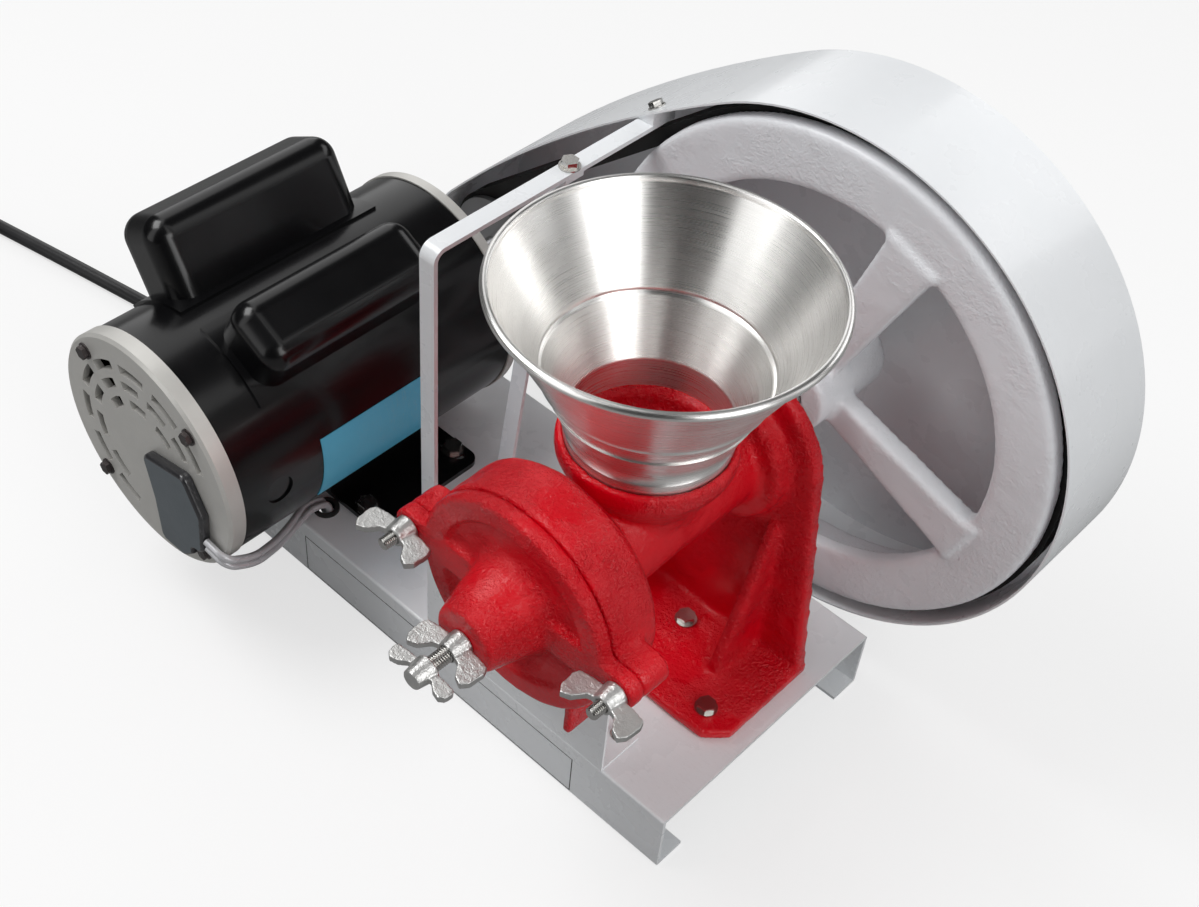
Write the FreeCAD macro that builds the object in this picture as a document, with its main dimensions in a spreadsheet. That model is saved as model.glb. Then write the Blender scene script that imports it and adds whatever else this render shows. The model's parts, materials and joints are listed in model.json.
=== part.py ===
import FreeCAD, Part
import math
import os
import Sketcher

# Electric grain mill: a cast plate mill and its motor on a folded sheet base, joined by a V-belt.
# Millimetres. X runs along the base, Y runs from the mill's cover to the flywheel, Z is up.
# Places are measured from the base's left end, its front wall and the floor, and each piece is then
# moved so that the origin lies on the floor at the centre of the whole machine.

os.makedirs("parts", exist_ok=True)
doc = FreeCAD.newDocument("GrainMill")

# Driving dimensions

SIZES = {
    # folded base
    "base_length": 464, "base_width": 203, "base_height": 49, "base_sheet": 2.5,
    "base_flange": 23, "base_bend_radius": 4,
    # motor frame
    "motor_x": 87, "foot_rise": 7, "motor_overhang": 80, "shell_radius": 82,
    "shell_wall": 2.5, "shell_length": 228, "end_ring_depth": 12, "end_ring_lip": 1,
    "end_plate": 5, "rear_ring_depth": 7, "spigot_depth": 8, "shell_fit": 0.2,
    "knockout_radius": 10, "knockout_depth": 1.8, "knockout_y": -40,
    # end shield vents
    "vent_inset": 16, "vent_band": 7, "vent_rib": 6,
    # motor foot
    "foot_plate_start": 30, "foot_plate_length": 98, "foot_plate_half_width": 89,
    "foot_plate_thickness": 4, "foot_web_offset": 42, "foot_bolt_half_span": 70,
    "foot_bolt_radius": 3.6, "foot_corner_radius": 9, "foot_bolt_start": 39, "foot_bolt_spacing": 80, "foot_slot_half_length": 7,
    # capacitor covers
    "cover_tilt": 28, "cover_half_width": 25, "cover_corner_radius": 15, "cover_lead": 30,
    "cover_wall": 1.2, "cover_root": 8, "run_cover_rise": 35, "run_cover_length": 138, "start_cover_rise": 52,
    "start_cover_length": 148, "cover_flange": 5, "cover_flange_height": 2,
    "capacitor_radius": 16, "capacitor_gap": 1,
    # motor inside
    "motor_shaft_radius": 8, "motor_shaft_reach": 83, "bearing_radius": 17, "bearing_width": 10,
    "core_inset": 14, "core_length": 105, "core_start": -12,
    "winding_overhang": 18, "rotor_radius": 38, "air_gap": 0.6,
    "fan_radius": 52, "fan_depth": 16, "fan_y": -56, "fan_blade_count": 8,
    "through_bolt_inset": 9, "through_bolt_radius": 2.5,
    "nameplate_start": -5, "nameplate_length": 98, "nameplate_low_angle": -27,
    "nameplate_high_angle": 13, "nameplate_thickness": 0.6,
    "terminal_cover_depth": 7, "terminal_corner_radius": 6,
    # mill casting
    "mill_x": 370, "mill_rise": 157, "neck_y": 62, "drum_overhang": 33, "drum_radius": 69,
    "drum_depth": 37, "chamber_radius": 58, "drum_back_wall": 10, "barrel_radius": 34,
    "stand_back": 150, "stand_plate": 10, "stand_arch_radius": 65, "stand_half_width": 83,
    "stand_foot_front": 60, "stand_foot": 8, "stand_corner_radius": 14,
    "gusset_offset": 45, "gusset_thickness": 8, "gusset_front": 100, "gusset_height": 112,
    "front_boss_radius": 48, "front_boss_depth": 12, "rear_boss_radius": 27,
    "rear_boss_depth": 18, "bush_radius": 14, "bush_length": 30,
    "neck_radius": 51.5, "neck_lip": 12, "neck_height": 62, "neck_waist_radius": 38,
    "throat_radius": 41, "throat_land": 12, "throat_low_radius": 17,
    "spout_half_width": 42, "spout_wall": 6, "spout_drop": 88,
    "stand_bolt_radius": 3.2, "stand_bolt_front": 77, "stand_bolt_back": 121,
    "stand_bolt_half_span": 60, "stand_bolt_back_offset": 5,
    # mill cover and its fixings
    "lug_offset": 79, "lug_radius": 11, "body_lug_depth": 20, "cover_radius": 68,
    "cover_rim": 10, "dish_radius": 51, "dish_depth": 4, "nose_root_radius": 30,
    "nose_radius": 19, "nose_length": 34, "stud_radius": 4, "stud_reach": 20,
    "stud_embed": 18, "nut_hub_radius": 8, "nut_hub_length": 12, "wing_span": 48,
    "wing_height": 22, "wing_thickness": 4.5,
    "screw_radius": 5, "screw_reach": 71, "screw_wing_span": 44, "screw_wing_height": 13,
    # grinding parts and shaft
    "mill_shaft_radius": 9, "auger_core_radius": 11, "auger_radius": 20, "auger_pitch": 24,
    "auger_flight": 5, "auger_length": 92, "disc_radius": 53, "disc_thickness": 8,
    "disc_gap": 0.6, "disc_groove_count": 12,
    "shaft_tip": 8, "running_fit": 0.05,
    # flywheel and belt
    "wheel_radius": 171, "wheel_ring_radius": 132, "wheel_front": 218, "wheel_rim_width": 40,
    "wheel_plate": 12, "wheel_rim_wall": 22, "wheel_hub_radius": 26, "wheel_hub_front": 198,
    "wheel_hub_back": 264, "spoke_root_half_width": 11, "spoke_tip_half_width": 18,
    "spoke_thickness": 14, "spoke_count": 4, "wheel_angle": 69,
    "belt_width": 16.5, "belt_base_width": 10, "belt_depth": 10.5, "belt_proud": 3,
    "belt_clearance": 0.4, "pulley_radius": 38, "pulley_width": 24, 
    # belt guard and its frame
    "guard_clearance": 10, "guard_small_radius": 50, "guard_bulge_radius": 1000,
    "guard_sheet": 1.2, "guard_depth": 82, "guard_lap": 22,
    "bar_x": 220, "bar_width": 12, "bar_thickness": 3, "bar_front": 37, "bar_foot": 24,
    "bar_bolt_y": 152, "bar_bend_radius": 9, "leg_lean": 34,
    "bracket_x": 262, "bracket_leaf": 26, "bracket_reach": 34, "bracket_sheet": 2.5,
    "guard_grip": 1.5, "frame_bolt_radius": 3, "small_screw_radius": 2.5,
    # flour shield
    "shield_start": 259, "shield_length": 154, "shield_height": 72, "shield_sheet": 1.5,
    "shield_foot": 34, "shield_clearance": 4, "shield_screw_x": 403, "shield_screw_y": 27,
    # hopper
    "spigot_radius": 46.5, "spigot_fit": 0.25, "socket_depth": 10, "spigot_height": 21,
    "hopper_sheet": 1.2, "hopper_groove_radius": 62, "hopper_groove_half": 2,
    "hopper_groove_height": 56, "hopper_radius": 92.4, "hopper_height": 113,
    "hopper_bead_radius": 2.5, "band_sheet": 1, "band_top": 42, "band_seam_angle": 7,
    # leads and power cord
    "lead_diameter": 5, "lead_spacing": 5.6, "lead_hole_x": 136, "lead_hole_y": 20,
    "grommet_radius": 9, "grommet_lip": 2,
    "cord_diameter": 11, "gland_length": 20, "gland_wall": 4, "gland_x": 40, "gland_y": 103,
    "cord_height": 30, "coil_mid_radius": 60, "coil_gap": 1.1,
    "plug_lead": 45, "plug_length": 42, "plug_radius": 17, "blade_length": 18,
}

sheet = doc.addObject("Spreadsheet::Sheet", "Sizes")
for row, (name, value) in enumerate(SIZES.items(), 1):
    sheet.set(f"A{row}", name)
    sheet.set(f"B{row}", str(value))
    sheet.setAlias(f"B{row}", name)
doc.recompute()


class Size:
    """A length, angle or count with the sheet expression that it is bound to."""

    def __init__(self, number, text=None):
        self.number = float(number)
        self.text = repr(self.number) if text is None else text

    def combine(self, other, sign, number):
        return Size(number, f"({self.text} {sign} {other.text})")

    def __add__(self, other):
        other = as_size(other)
        return self.combine(other, "+", self.number + other.number)

    def __sub__(self, other):
        other = as_size(other)
        return self.combine(other, "-", self.number - other.number)

    def __mul__(self, other):
        other = as_size(other)
        return self.combine(other, "*", self.number * other.number)

    def __truediv__(self, other):
        other = as_size(other)
        return self.combine(other, "/", self.number / other.number)

    def __neg__(self):
        return Size(-self.number, f"(-1 * {self.text})")

    def __radd__(self, other):
        return as_size(other) + self

    def __rsub__(self, other):
        return as_size(other) - self

    def __rmul__(self, other):
        return as_size(other) * self


def as_size(value):
    return value if isinstance(value, Size) else Size(value)


def root(size):
    return Size(math.sqrt(size.number), f"sqrt({size.text})")


def sine(angle):
    return Size(math.sin(math.radians(angle.number)), f"sin({angle.text})")


def cosine(angle):
    return Size(math.cos(math.radians(angle.number)), f"cos({angle.text})")


def arc_sine(ratio):
    return Size(math.degrees(math.asin(ratio.number)), f"(asin({ratio.text}) / 1 deg)")


def arc_cosine(ratio):
    return Size(math.degrees(math.acos(ratio.number)), f"(acos({ratio.text}) / 1 deg)")


def arc_tangent(ratio):
    return Size(math.degrees(math.atan(ratio.number)), f"(atan({ratio.text}) / 1 deg)")


class Sheet:
    """Reads a driving dimension by its alias as a Size."""

    def __getattr__(self, name):
        return Size(sheet.get(name), f"Sizes.{name}")


S = Sheet()
ZERO = Size(0)
HALF = 0.5

# Derived places

base_top = S.base_height
guard_radius = S.wheel_radius + S.guard_clearance
shaft_height = S.shell_radius + S.foot_rise
motor_z = base_top + shaft_height
mill_z = base_top + S.mill_rise
motor_front = -S.motor_overhang
shell_start = motor_front + S.end_ring_depth
shell_end = shell_start + S.shell_length
drum_front = -S.drum_overhang
drum_back = drum_front + S.drum_depth
cover_front = drum_front - S.cover_rim
nose_tip = cover_front - S.nose_length
belt_y = S.wheel_front + S.wheel_rim_width * HALF
guard_back = S.wheel_front + S.guard_depth
screw_end = cover_front - S.screw_reach
socket_floor = mill_z + S.neck_height - S.socket_depth
origin_x = (S.mill_x + guard_radius + S.motor_x - S.foot_plate_half_width) * HALF
origin_y = (guard_back + screw_end) * HALF
axis_dx = S.mill_x - S.motor_x
axis_dz = mill_z - motor_z
axis_distance = root(axis_dx * axis_dx + axis_dz * axis_dz)
axis_slope = arc_tangent(axis_dz / axis_dx)

pieces = {}

# Helpers for bound objects


def bind(target, **sizes):
    for prop, size in sizes.items():
        target.setExpression(prop, as_size(size).text)
    return target


def seat(piece, x, y, z, axis=(0, 0, 1), angle=0):
    """Puts a piece at a place of the machine, turned about one axis, and keeps it as a node."""
    angle = as_size(angle)
    turn = FreeCAD.Rotation(FreeCAD.Vector(*axis), angle.number)
    piece.Placement = FreeCAD.Placement(FreeCAD.Vector(), turn)
    for key, place in (("x", x - origin_x), ("y", y - origin_y), ("z", as_size(z))):
        piece.setExpression(f"Placement.Base.{key}", place.text)
    if abs(angle.number) > 0:
        piece.setExpression("Placement.Rotation.Angle", angle.text)
    pieces[piece.Label] = piece
    return piece


def new_body(label):
    body = doc.addObject("PartDesign::Body", label)
    body.Label = label
    return body


def new_sketch(body, plane, lift=None):
    """A sketch on one of the body's own origin planes, lifted along the plane's normal."""
    sketch = body.newObject("Sketcher::SketchObject", f"{body.Name}_outline")
    base = [item for item in body.Origin.OriginFeatures if item.Role == plane][0]
    sketch.AttachmentSupport = [(base, "")]
    sketch.MapMode = "FlatFace"
    if lift is not None:
        sketch.setExpression("AttachmentOffset.Base.z", as_size(lift).text)
    return sketch


def fix_point(sketch, geometry, position, x, y):
    """Ties one point of a sketch to its two bound coordinates."""
    for kind, size, axis in (("DistanceX", as_size(x), -2), ("DistanceY", as_size(y), -1)):
        if size.text == ZERO.text:
            sketch.addConstraint(Sketcher.Constraint("PointOnObject", geometry, position, axis))
            continue
        rule = Sketcher.Constraint(kind, -1, 1, geometry, position, size.number)
        index = sketch.addConstraint(rule)
        sketch.setExpression(f"Constraints[{index}]", size.text)


def fix_radius(sketch, geometry, radius):
    index = sketch.addConstraint(Sketcher.Constraint("Radius", geometry, radius.number))
    sketch.setExpression(f"Constraints[{index}]", radius.text)


def vector(x, y, z=0):
    return FreeCAD.Vector(as_size(x).number, as_size(y).number, as_size(z).number)


def add_outline(sketch, points):
    """A closed outline of straight lines through bound points."""
    first = sketch.GeometryCount
    count = len(points)
    for index, point in enumerate(points):
        following = points[(index + 1) % count]
        sketch.addGeometry(Part.LineSegment(vector(*point), vector(*following)), False)
    for index, point in enumerate(points):
        line = first + index
        before = first + (index - 1) % count
        sketch.addConstraint(Sketcher.Constraint("Coincident", before, 2, line, 1))
        fix_point(sketch, line, 1, *point)


def add_circle(sketch, x, y, radius):
    radius = as_size(radius)
    circle = Part.Circle(vector(x, y), FreeCAD.Vector(0, 0, 1), radius.number)
    index = sketch.addGeometry(circle, False)
    fix_point(sketch, index, 3, x, y)
    fix_radius(sketch, index, radius)


def add_arc(sketch, centre, radius, start, end):
    """An arc of a circle between two angles in radians, fixed in centre and radius."""
    circle = Part.Circle(vector(*centre), FreeCAD.Vector(0, 0, 1), radius.number)
    index = sketch.addGeometry(Part.ArcOfCircle(circle, start, end), False)
    fix_point(sketch, index, 3, *centre)
    fix_radius(sketch, index, radius)
    return index


def add_slot(sketch, x1, y1, x2, y2, radius):
    """A slot with round ends about two centres."""
    x1, y1, x2, y2 = [as_size(value) for value in (x1, y1, x2, y2)]
    along = math.atan2(y2.number - y1.number, x2.number - x1.number)
    quarter = math.pi / 2
    side = FreeCAD.Vector(-math.sin(along), math.cos(along), 0) * radius.number
    near = add_arc(sketch, (x1, y1), radius, along + quarter, along + 3 * quarter)
    far = add_arc(sketch, (x2, y2), radius, along - quarter, along + quarter)
    start, end = vector(x1, y1), vector(x2, y2)
    lower = sketch.addGeometry(Part.LineSegment(start - side, end - side), False)
    upper = sketch.addGeometry(Part.LineSegment(end + side, start + side), False)
    for first, place, second, other in ((near, 2, lower, 1), (lower, 2, far, 1),
                                        (far, 2, upper, 1), (upper, 2, near, 1)):
        sketch.addConstraint(Sketcher.Constraint("Tangent", first, place, second, other))


def add_sector(sketch, inner, outer, low, high):
    """A band between two radii about the sketch's origin and two angles in degrees."""
    low, high = as_size(low), as_size(high)
    start, end = math.radians(low.number), math.radians(high.number)
    origin = (ZERO, ZERO)
    outside = add_arc(sketch, origin, outer, start, end)
    inside = add_arc(sketch, origin, inner, start, end)
    for place, angle in ((1, low), (2, high)):
        turn = (cosine(angle), sine(angle))
        near = (inner * turn[0], inner * turn[1])
        away = (outer * turn[0], outer * turn[1])
        line = sketch.addGeometry(Part.LineSegment(vector(*near), vector(*away)), False)
        sketch.addConstraint(Sketcher.Constraint("Coincident", inside, place, line, 1))
        sketch.addConstraint(Sketcher.Constraint("Coincident", outside, place, line, 2))
        sketch.addConstraint(Sketcher.Constraint("PointOnObject", -1, 1, line))
        steep = abs(turn[1].number) > abs(turn[0].number)
        kind, size = ("DistanceX", away[0]) if steep else ("DistanceY", away[1])
        index = sketch.addConstraint(Sketcher.Constraint(kind, -1, 1, line, 2, size.number))
        sketch.setExpression(f"Constraints[{index}]", size.text)


def add_pad(body, sketch, length, symmetric=False):
    pad = body.newObject("PartDesign::Pad", f"{body.Name}_pad")
    pad.Profile = sketch
    pad.Midplane = symmetric
    bind(pad, Length=length)
    return pad


def add_pocket(body, sketch, length=None, reverse=False, both=False):
    pocket = body.newObject("PartDesign::Pocket", f"{body.Name}_pocket")
    pocket.Profile = sketch
    if length is None:
        pocket.Type = "ThroughAll"
    else:
        bind(pocket, Length=length)
    pocket.Reversed = reverse
    pocket.Midplane = both
    return pocket


def add_turning(body, kind, plane, points):
    """Revolves a closed profile of (radius, height) about the sketch's upright axis."""
    sketch = new_sketch(body, plane)
    add_outline(sketch, points)
    turning = body.newObject(f"PartDesign::{kind}", f"{body.Name}_{kind.lower()}")
    turning.Profile = sketch
    turning.ReferenceAxis = (sketch, ["V_Axis"])
    turning.Angle = 360
    return turning


def turned_body(label, points, plane="XY_Plane"):
    body = new_body(label)
    add_turning(body, "Revolution", plane, points)
    return body


def edges_where(shape, test):
    return [f"Edge{index}" for index, edge in enumerate(shape.Edges, 1)
            if not edge.Degenerated and test(edge)]


def soften(body, feature, test, radius, kind="Fillet"):
    """Rounds or bevels the edges that a test picks."""
    doc.recompute()
    names = edges_where(feature.Shape, test)
    dressing = body.newObject(f"PartDesign::{kind}", f"{body.Name}_{kind.lower()}")
    dressing.Base = (feature, names)
    bind(dressing, **{"Radius" if kind == "Fillet" else "Size": radius})
    return dressing


def ends_of(edge):
    return [vertex.Point for vertex in edge.Vertexes]


def is_along(edge, axis):
    """True for a straight edge that runs along one axis of its own frame."""
    if not isinstance(edge.Curve, Part.Line):
        return False
    return abs(abs(edge.Curve.Direction.dot(FreeCAD.Vector(*axis))) - 1) < 1e-6


ALONG_X, ALONG_Y, ALONG_Z = (1, 0, 0), (0, 1, 0), (0, 0, 1)
TOWARDS_FRONT = dict(axis=ALONG_X, angle=90)
TOWARDS_BACK = dict(axis=ALONG_X, angle=-90)
HEX_CORNERS = 6
HEAD_CORNERS, HEAD_HEIGHT, WASHER_EDGE, WASHER_HEIGHT, HEAD_ROOM = 1.9, 1.3, 2.3, 0.35, 2.5


def hex_bolt(label, radius, length):
    """A hexagon bolt with its washer; the washer's seat is at the origin, the head towards +Z."""
    head_radius, head_height = radius * HEAD_CORNERS, radius * HEAD_HEIGHT
    washer_radius, washer_height = radius * WASHER_EDGE, radius * WASHER_HEIGHT
    shank = bind(doc.addObject("Part::Cylinder", f"{label}_shank"), Radius=radius, Height=length)
    shank.setExpression("Placement.Base.z", (-length).text)
    washer = bind(doc.addObject("Part::Cylinder", f"{label}_washer"),
                  Radius=washer_radius, Height=washer_height)
    head = doc.addObject("Part::Prism", f"{label}_head")
    head.Polygon = HEX_CORNERS
    bind(head, Circumradius=head_radius, Height=head_height)
    head.setExpression("Placement.Base.z", washer_height.text)
    bolt = doc.addObject("Part::MultiFuse", label)
    bolt.Label = label
    bolt.Shapes = [shank, washer, head]
    return bolt


def seat_bolt(label, radius, length, x, y, z, **turn):
    seat(hex_bolt(label, radius, length), x, y, z, **turn)


def cut_holes(body, plane, lift, places, radius, depth, reverse=False):
    """Round holes pocketed from one plane at bound places."""
    sketch = new_sketch(body, plane, lift)
    for x, y in places:
        add_circle(sketch, x, y, radius)
    return add_pocket(body, sketch, depth, reverse=reverse)


def slab_across(body, outline, front, back):
    """Pads an upright outline of (x, z) between two places along Y."""
    sketch = new_sketch(body, "XZ_Plane", -back)
    outline(sketch)
    return add_pad(body, sketch, back - front)


def cut_across(body, outline, front, back):
    sketch = new_sketch(body, "XZ_Plane", -front)
    outline(sketch)
    return add_pocket(body, sketch, back - front)


# Folded base

base = new_body("base_channel")
flange_end, wall = S.base_width - S.base_flange, S.base_sheet
profile = new_sketch(base, "YZ_Plane")
add_outline(profile, [
    (ZERO, ZERO), (S.base_flange, ZERO), (S.base_flange, wall), (wall, wall),
    (wall, base_top - wall), (S.base_width - wall, base_top - wall), (S.base_width - wall, wall),
    (flange_end, wall), (flange_end, ZERO), (S.base_width, ZERO), (S.base_width, base_top),
    (ZERO, base_top)])
channel = add_pad(base, profile, S.base_length)


def at_outer_bend(edge):
    if not is_along(edge, ALONG_X):
        return False
    point = ends_of(edge)[0]
    at_side = min(abs(point.y), abs(point.y - S.base_width.number)) < 1e-6
    return at_side


soften(base, channel, at_outer_bend, S.base_bend_radius * HALF)
motor_foot_places = [
    (S.motor_x + side * S.foot_bolt_half_span, S.foot_bolt_start + step * S.foot_bolt_spacing)
    for side in (-1, 1) for step in (0, 1)]
stand_places = [
    (S.mill_x - S.stand_bolt_half_span, S.stand_bolt_front),
    (S.mill_x + S.stand_bolt_half_span, S.stand_bolt_front),
    (S.mill_x + S.stand_bolt_back_offset, S.stand_bolt_back)]
hole_clearance = Size(0.3)
stand_hole = S.stand_bolt_radius + hole_clearance
foot_hole = S.foot_bolt_radius + hole_clearance
cut_holes(base, "XY_Plane", base_top, stand_places, stand_hole, 2 * wall)
cut_holes(base, "XY_Plane", base_top, motor_foot_places, foot_hole, 2 * wall)
cut_holes(base, "XY_Plane", base_top, [(S.lead_hole_x, S.lead_hole_y)],
          S.grommet_radius - S.grommet_lip, 2 * wall)
screw_hole = S.small_screw_radius + hole_clearance
bar_foot_y = S.bar_front + S.bar_foot * HALF
leg_foot_y = S.bar_bolt_y - S.leg_lean + S.bar_foot * HALF
screw_places = [(S.shield_screw_x, S.shield_screw_y), (S.bar_x, bar_foot_y), (S.bar_x, leg_foot_y)]
cut_holes(base, "XY_Plane", base_top, screw_places, screw_hole, 2 * wall)
seat(base, ZERO, ZERO, ZERO)

# Flour shield in front of the drum

shield = new_body("flour_shield")
mill_in_shield = S.mill_x - S.shield_start
foot_profile = new_sketch(shield, "YZ_Plane")
add_outline(foot_profile, [
    (ZERO, ZERO), (S.shield_foot, ZERO), (S.shield_foot, S.shield_sheet),
    (S.shield_sheet, S.shield_sheet), (S.shield_sheet, S.shield_height),
    (ZERO, S.shield_height)])
add_pad(shield, foot_profile, S.shield_length)
arc_radius = S.drum_radius + S.shield_clearance
cut_across(shield, lambda sketch: add_circle(sketch, mill_in_shield, S.mill_rise, arc_radius),
           -1 * S.shield_sheet, 3 * S.shield_sheet)
shield_screw_place = (S.shield_screw_x - S.shield_start, S.shield_screw_y)
cut_holes(shield, "XY_Plane", S.shield_sheet, [shield_screw_place], screw_hole, 2 * S.shield_sheet)
seat(shield, S.shield_start, ZERO, base_top)
screw_grip = S.shield_sheet + 3 * wall
seat_bolt("shield_screw", S.small_screw_radius, screw_grip, S.shield_screw_x, S.shield_screw_y,
          base_top + S.shield_sheet)

# Motor frame: shell, end shields and foot

shell = new_body("motor_shell")
shell_inner = S.shell_radius - S.shell_wall
profile_points = [(shell_inner, ZERO), (S.shell_radius, ZERO), (S.shell_radius, S.shell_length),
                  (shell_inner, S.shell_length)]
add_turning(shell, "Revolution", "XY_Plane", profile_points)
knockout_height = S.shell_radius - S.knockout_depth
knockout = new_sketch(shell, "YZ_Plane", knockout_height)
add_circle(knockout, S.knockout_y - shell_start, ZERO, S.knockout_radius)
add_pocket(shell, knockout, S.shell_wall, reverse=True)
seat(shell, S.motor_x, shell_start, motor_z)

spigot_outer = shell_inner - S.shell_fit
spigot_inner = spigot_outer - S.shell_wall * 2
housing = S.bearing_radius + S.end_plate
ring_radius = S.shell_radius + S.end_ring_lip
front_shield = new_body("front_end_shield")
ring_end = S.end_ring_depth + S.spigot_depth
add_turning(front_shield, "Revolution", "XY_Plane", [
    (ZERO, ZERO), (ring_radius - 2, ZERO), (ring_radius, Size(2)), (ring_radius, S.end_ring_depth),
    (spigot_outer, S.end_ring_depth), (spigot_outer, ring_end), (spigot_inner, ring_end),
    (spigot_inner, S.end_plate), (housing, S.end_plate),
    (housing, S.end_plate + S.bearing_width), (S.bearing_radius, S.end_plate + S.bearing_width),
    (S.bearing_radius, S.end_plate), (ZERO, S.end_plate)])
vent_outer = S.shell_radius - S.vent_inset
vent_inner = vent_outer - S.vent_band
second_outer = vent_inner - S.vent_rib
second_inner = second_outer - S.vent_band
third_outer = second_inner - S.vent_rib
third_inner = third_outer - S.vent_band
VENTS = [
    (vent_inner, vent_outer, (22, 52, 82, 112, 142), 22),
    (second_inner, second_outer, (28, 58, 88, 118, 148), 20),
    (third_inner, third_outer, (40, 80, 120), 24),
    (vent_inner, vent_outer, (172, 202, 232), 20),
    (second_inner, second_outer, (180, 215), 22),
]
for inner, outer, starts, sweep in VENTS:
    vent = new_sketch(front_shield, "XZ_Plane")
    for start in starts:
        add_sector(vent, inner, outer, start, start + sweep)
    add_pocket(front_shield, vent, 2 * S.end_plate)
diagonal = (S.shell_radius - S.through_bolt_inset) * cosine(Size(45))
bolt_corners = [(across * diagonal, up * diagonal) for across in (-1, 1) for up in (-1, 1)]
bolt_bore = S.through_bolt_radius + hole_clearance
cut_across(front_shield,
           lambda sketch: [add_circle(sketch, x, z, bolt_bore) for x, z in bolt_corners],
           ZERO, ring_end)
seat(front_shield, S.motor_x, motor_front, motor_z)

rear_shield = new_body("rear_end_shield")
shaft_hole = S.motor_shaft_radius + 1
rear_back = S.spigot_depth + S.rear_ring_depth
rear_face = rear_back - S.end_plate
add_turning(rear_shield, "Revolution", "XY_Plane", [
    (shaft_hole, rear_face), (S.bearing_radius, rear_face),
    (S.bearing_radius, rear_face - S.bearing_width), (housing, rear_face - S.bearing_width),
    (housing, rear_face), (spigot_inner, rear_face), (spigot_inner, ZERO), (spigot_outer, ZERO),
    (spigot_outer, S.spigot_depth), (ring_radius, S.spigot_depth), (ring_radius, rear_back),
    (shaft_hole, rear_back)])
cut_across(rear_shield,
           lambda sketch: [add_circle(sketch, x, z, bolt_bore) for x, z in bolt_corners],
           ZERO, rear_back)
seat(rear_shield, S.motor_x, shell_end - S.spigot_depth, motor_z)
bolt_length = shell_end + S.rear_ring_depth - motor_front
for number, (x, z) in enumerate(bolt_corners, 1):
    seat_bolt(f"motor_through_bolt_{number}", S.through_bolt_radius, bolt_length,
              S.motor_x + x, motor_front, motor_z + z, **TOWARDS_FRONT)

foot = new_body("motor_foot")
plate_half, plate_thick = S.foot_plate_half_width, S.foot_plate_thickness
web_in = S.foot_web_offset - plate_thick
web_height = shaft_height * HALF


def foot_outline(sketch):
    add_outline(sketch, [
        (-plate_half, ZERO), (plate_half, ZERO), (plate_half, plate_thick),
        (S.foot_web_offset, plate_thick), (S.foot_web_offset, web_height), (web_in, web_height),
        (web_in, plate_thick), (-web_in, plate_thick), (-web_in, web_height),
        (-S.foot_web_offset, web_height), (-S.foot_web_offset, plate_thick),
        (-plate_half, plate_thick)])


foot_pressing = slab_across(foot, foot_outline, ZERO, S.foot_plate_length)


def at_plate_corner(edge):
    return is_along(edge, ALONG_Z) and abs(abs(ends_of(edge)[0].x) - plate_half.number) < 1e-6


soften(foot, foot_pressing, at_plate_corner, S.foot_corner_radius)
cut_across(foot, lambda sketch: add_circle(sketch, ZERO, shaft_height, S.shell_radius),
           -plate_thick, S.foot_plate_length + plate_thick)
slots = new_sketch(foot, "XY_Plane", plate_thick)
for step in (0, 1):
    for side in (-1, 1):
        middle = side * S.foot_bolt_half_span
        place = S.foot_bolt_start - S.foot_plate_start + step * S.foot_bolt_spacing
        add_slot(slots, middle - S.foot_slot_half_length, place,
                 middle + S.foot_slot_half_length, place, foot_hole)
add_pocket(foot, slots, 2 * plate_thick)
seat(foot, S.motor_x, S.foot_plate_start, base_top)
foot_bolt_length = plate_thick + 4 * wall
for number, (x, y) in enumerate(motor_foot_places, 1):
    seat_bolt(f"motor_foot_bolt_{number}", S.foot_bolt_radius, foot_bolt_length, x, y,
              base_top + plate_thick)

# Capacitors under their pressed covers



def capacitor_cover(label, top, length, lean):
    body = new_body(label)
    half = S.cover_half_width
    lip = S.cover_flange
    flange_turn = 2 * arc_sine((half + lip) / S.shell_radius)
    flange = new_sketch(body, "YZ_Plane")
    add_outline(flange, [
        (-lip, S.shell_radius), (length + lip, S.shell_radius),
        (length + lip, S.shell_radius + S.cover_flange_height),
        (-lip, S.shell_radius + S.cover_flange_height)])
    band = body.newObject("PartDesign::Revolution", f"{label}_flange")
    band.Profile = flange
    band.ReferenceAxis = (flange, ["H_Axis"])
    band.Midplane = True
    bind(band, Angle=flange_turn)
    root = S.shell_radius - S.cover_root
    box = new_sketch(body, "XY_Plane", root)
    add_outline(box, [(-half, ZERO), (half, ZERO), (half, length), (-half, length)])
    add_pad(body, box, top - root)
    inset = S.cover_wall
    hollow = new_sketch(body, "XY_Plane", root)
    add_outline(hollow, [(inset - half, inset), (half - inset, inset),
                         (half - inset, length - inset), (inset - half, length - inset)])
    pressing = add_pocket(body, hollow, top - root - inset, reverse=True)

    def at_crown(crown, side):
        def test(edge):
            points = ends_of(edge)
            if is_along(edge, ALONG_Z):
                at_side = all(abs(abs(p.x) - side) < 1e-6 for p in points)
                return at_side and max(p.z for p in points) > crown - 1e-6
            return all(abs(p.z - crown) < 1e-6 for p in points)
        return test

    lining = soften(body, pressing, at_crown(top.number - inset.number, half.number - inset.number),
                    S.cover_corner_radius - inset)
    soften(body, lining, at_crown(top.number, half.number), S.cover_corner_radius)
    shell_cut = new_sketch(body, "XY_Plane")
    add_outline(shell_cut, [(ZERO, -2 * lip), (S.shell_radius, -2 * lip),
                            (S.shell_radius, length + 2 * lip), (ZERO, length + 2 * lip)])
    groove = body.newObject("PartDesign::Groove", f"{label}_groove")
    groove.Profile = shell_cut
    groove.ReferenceAxis = (shell_cut, ["V_Axis"])
    groove.Angle = 360
    seat(body, S.motor_x, -S.cover_lead, motor_z, axis=ALONG_Y, angle=lean)
    return body


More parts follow.
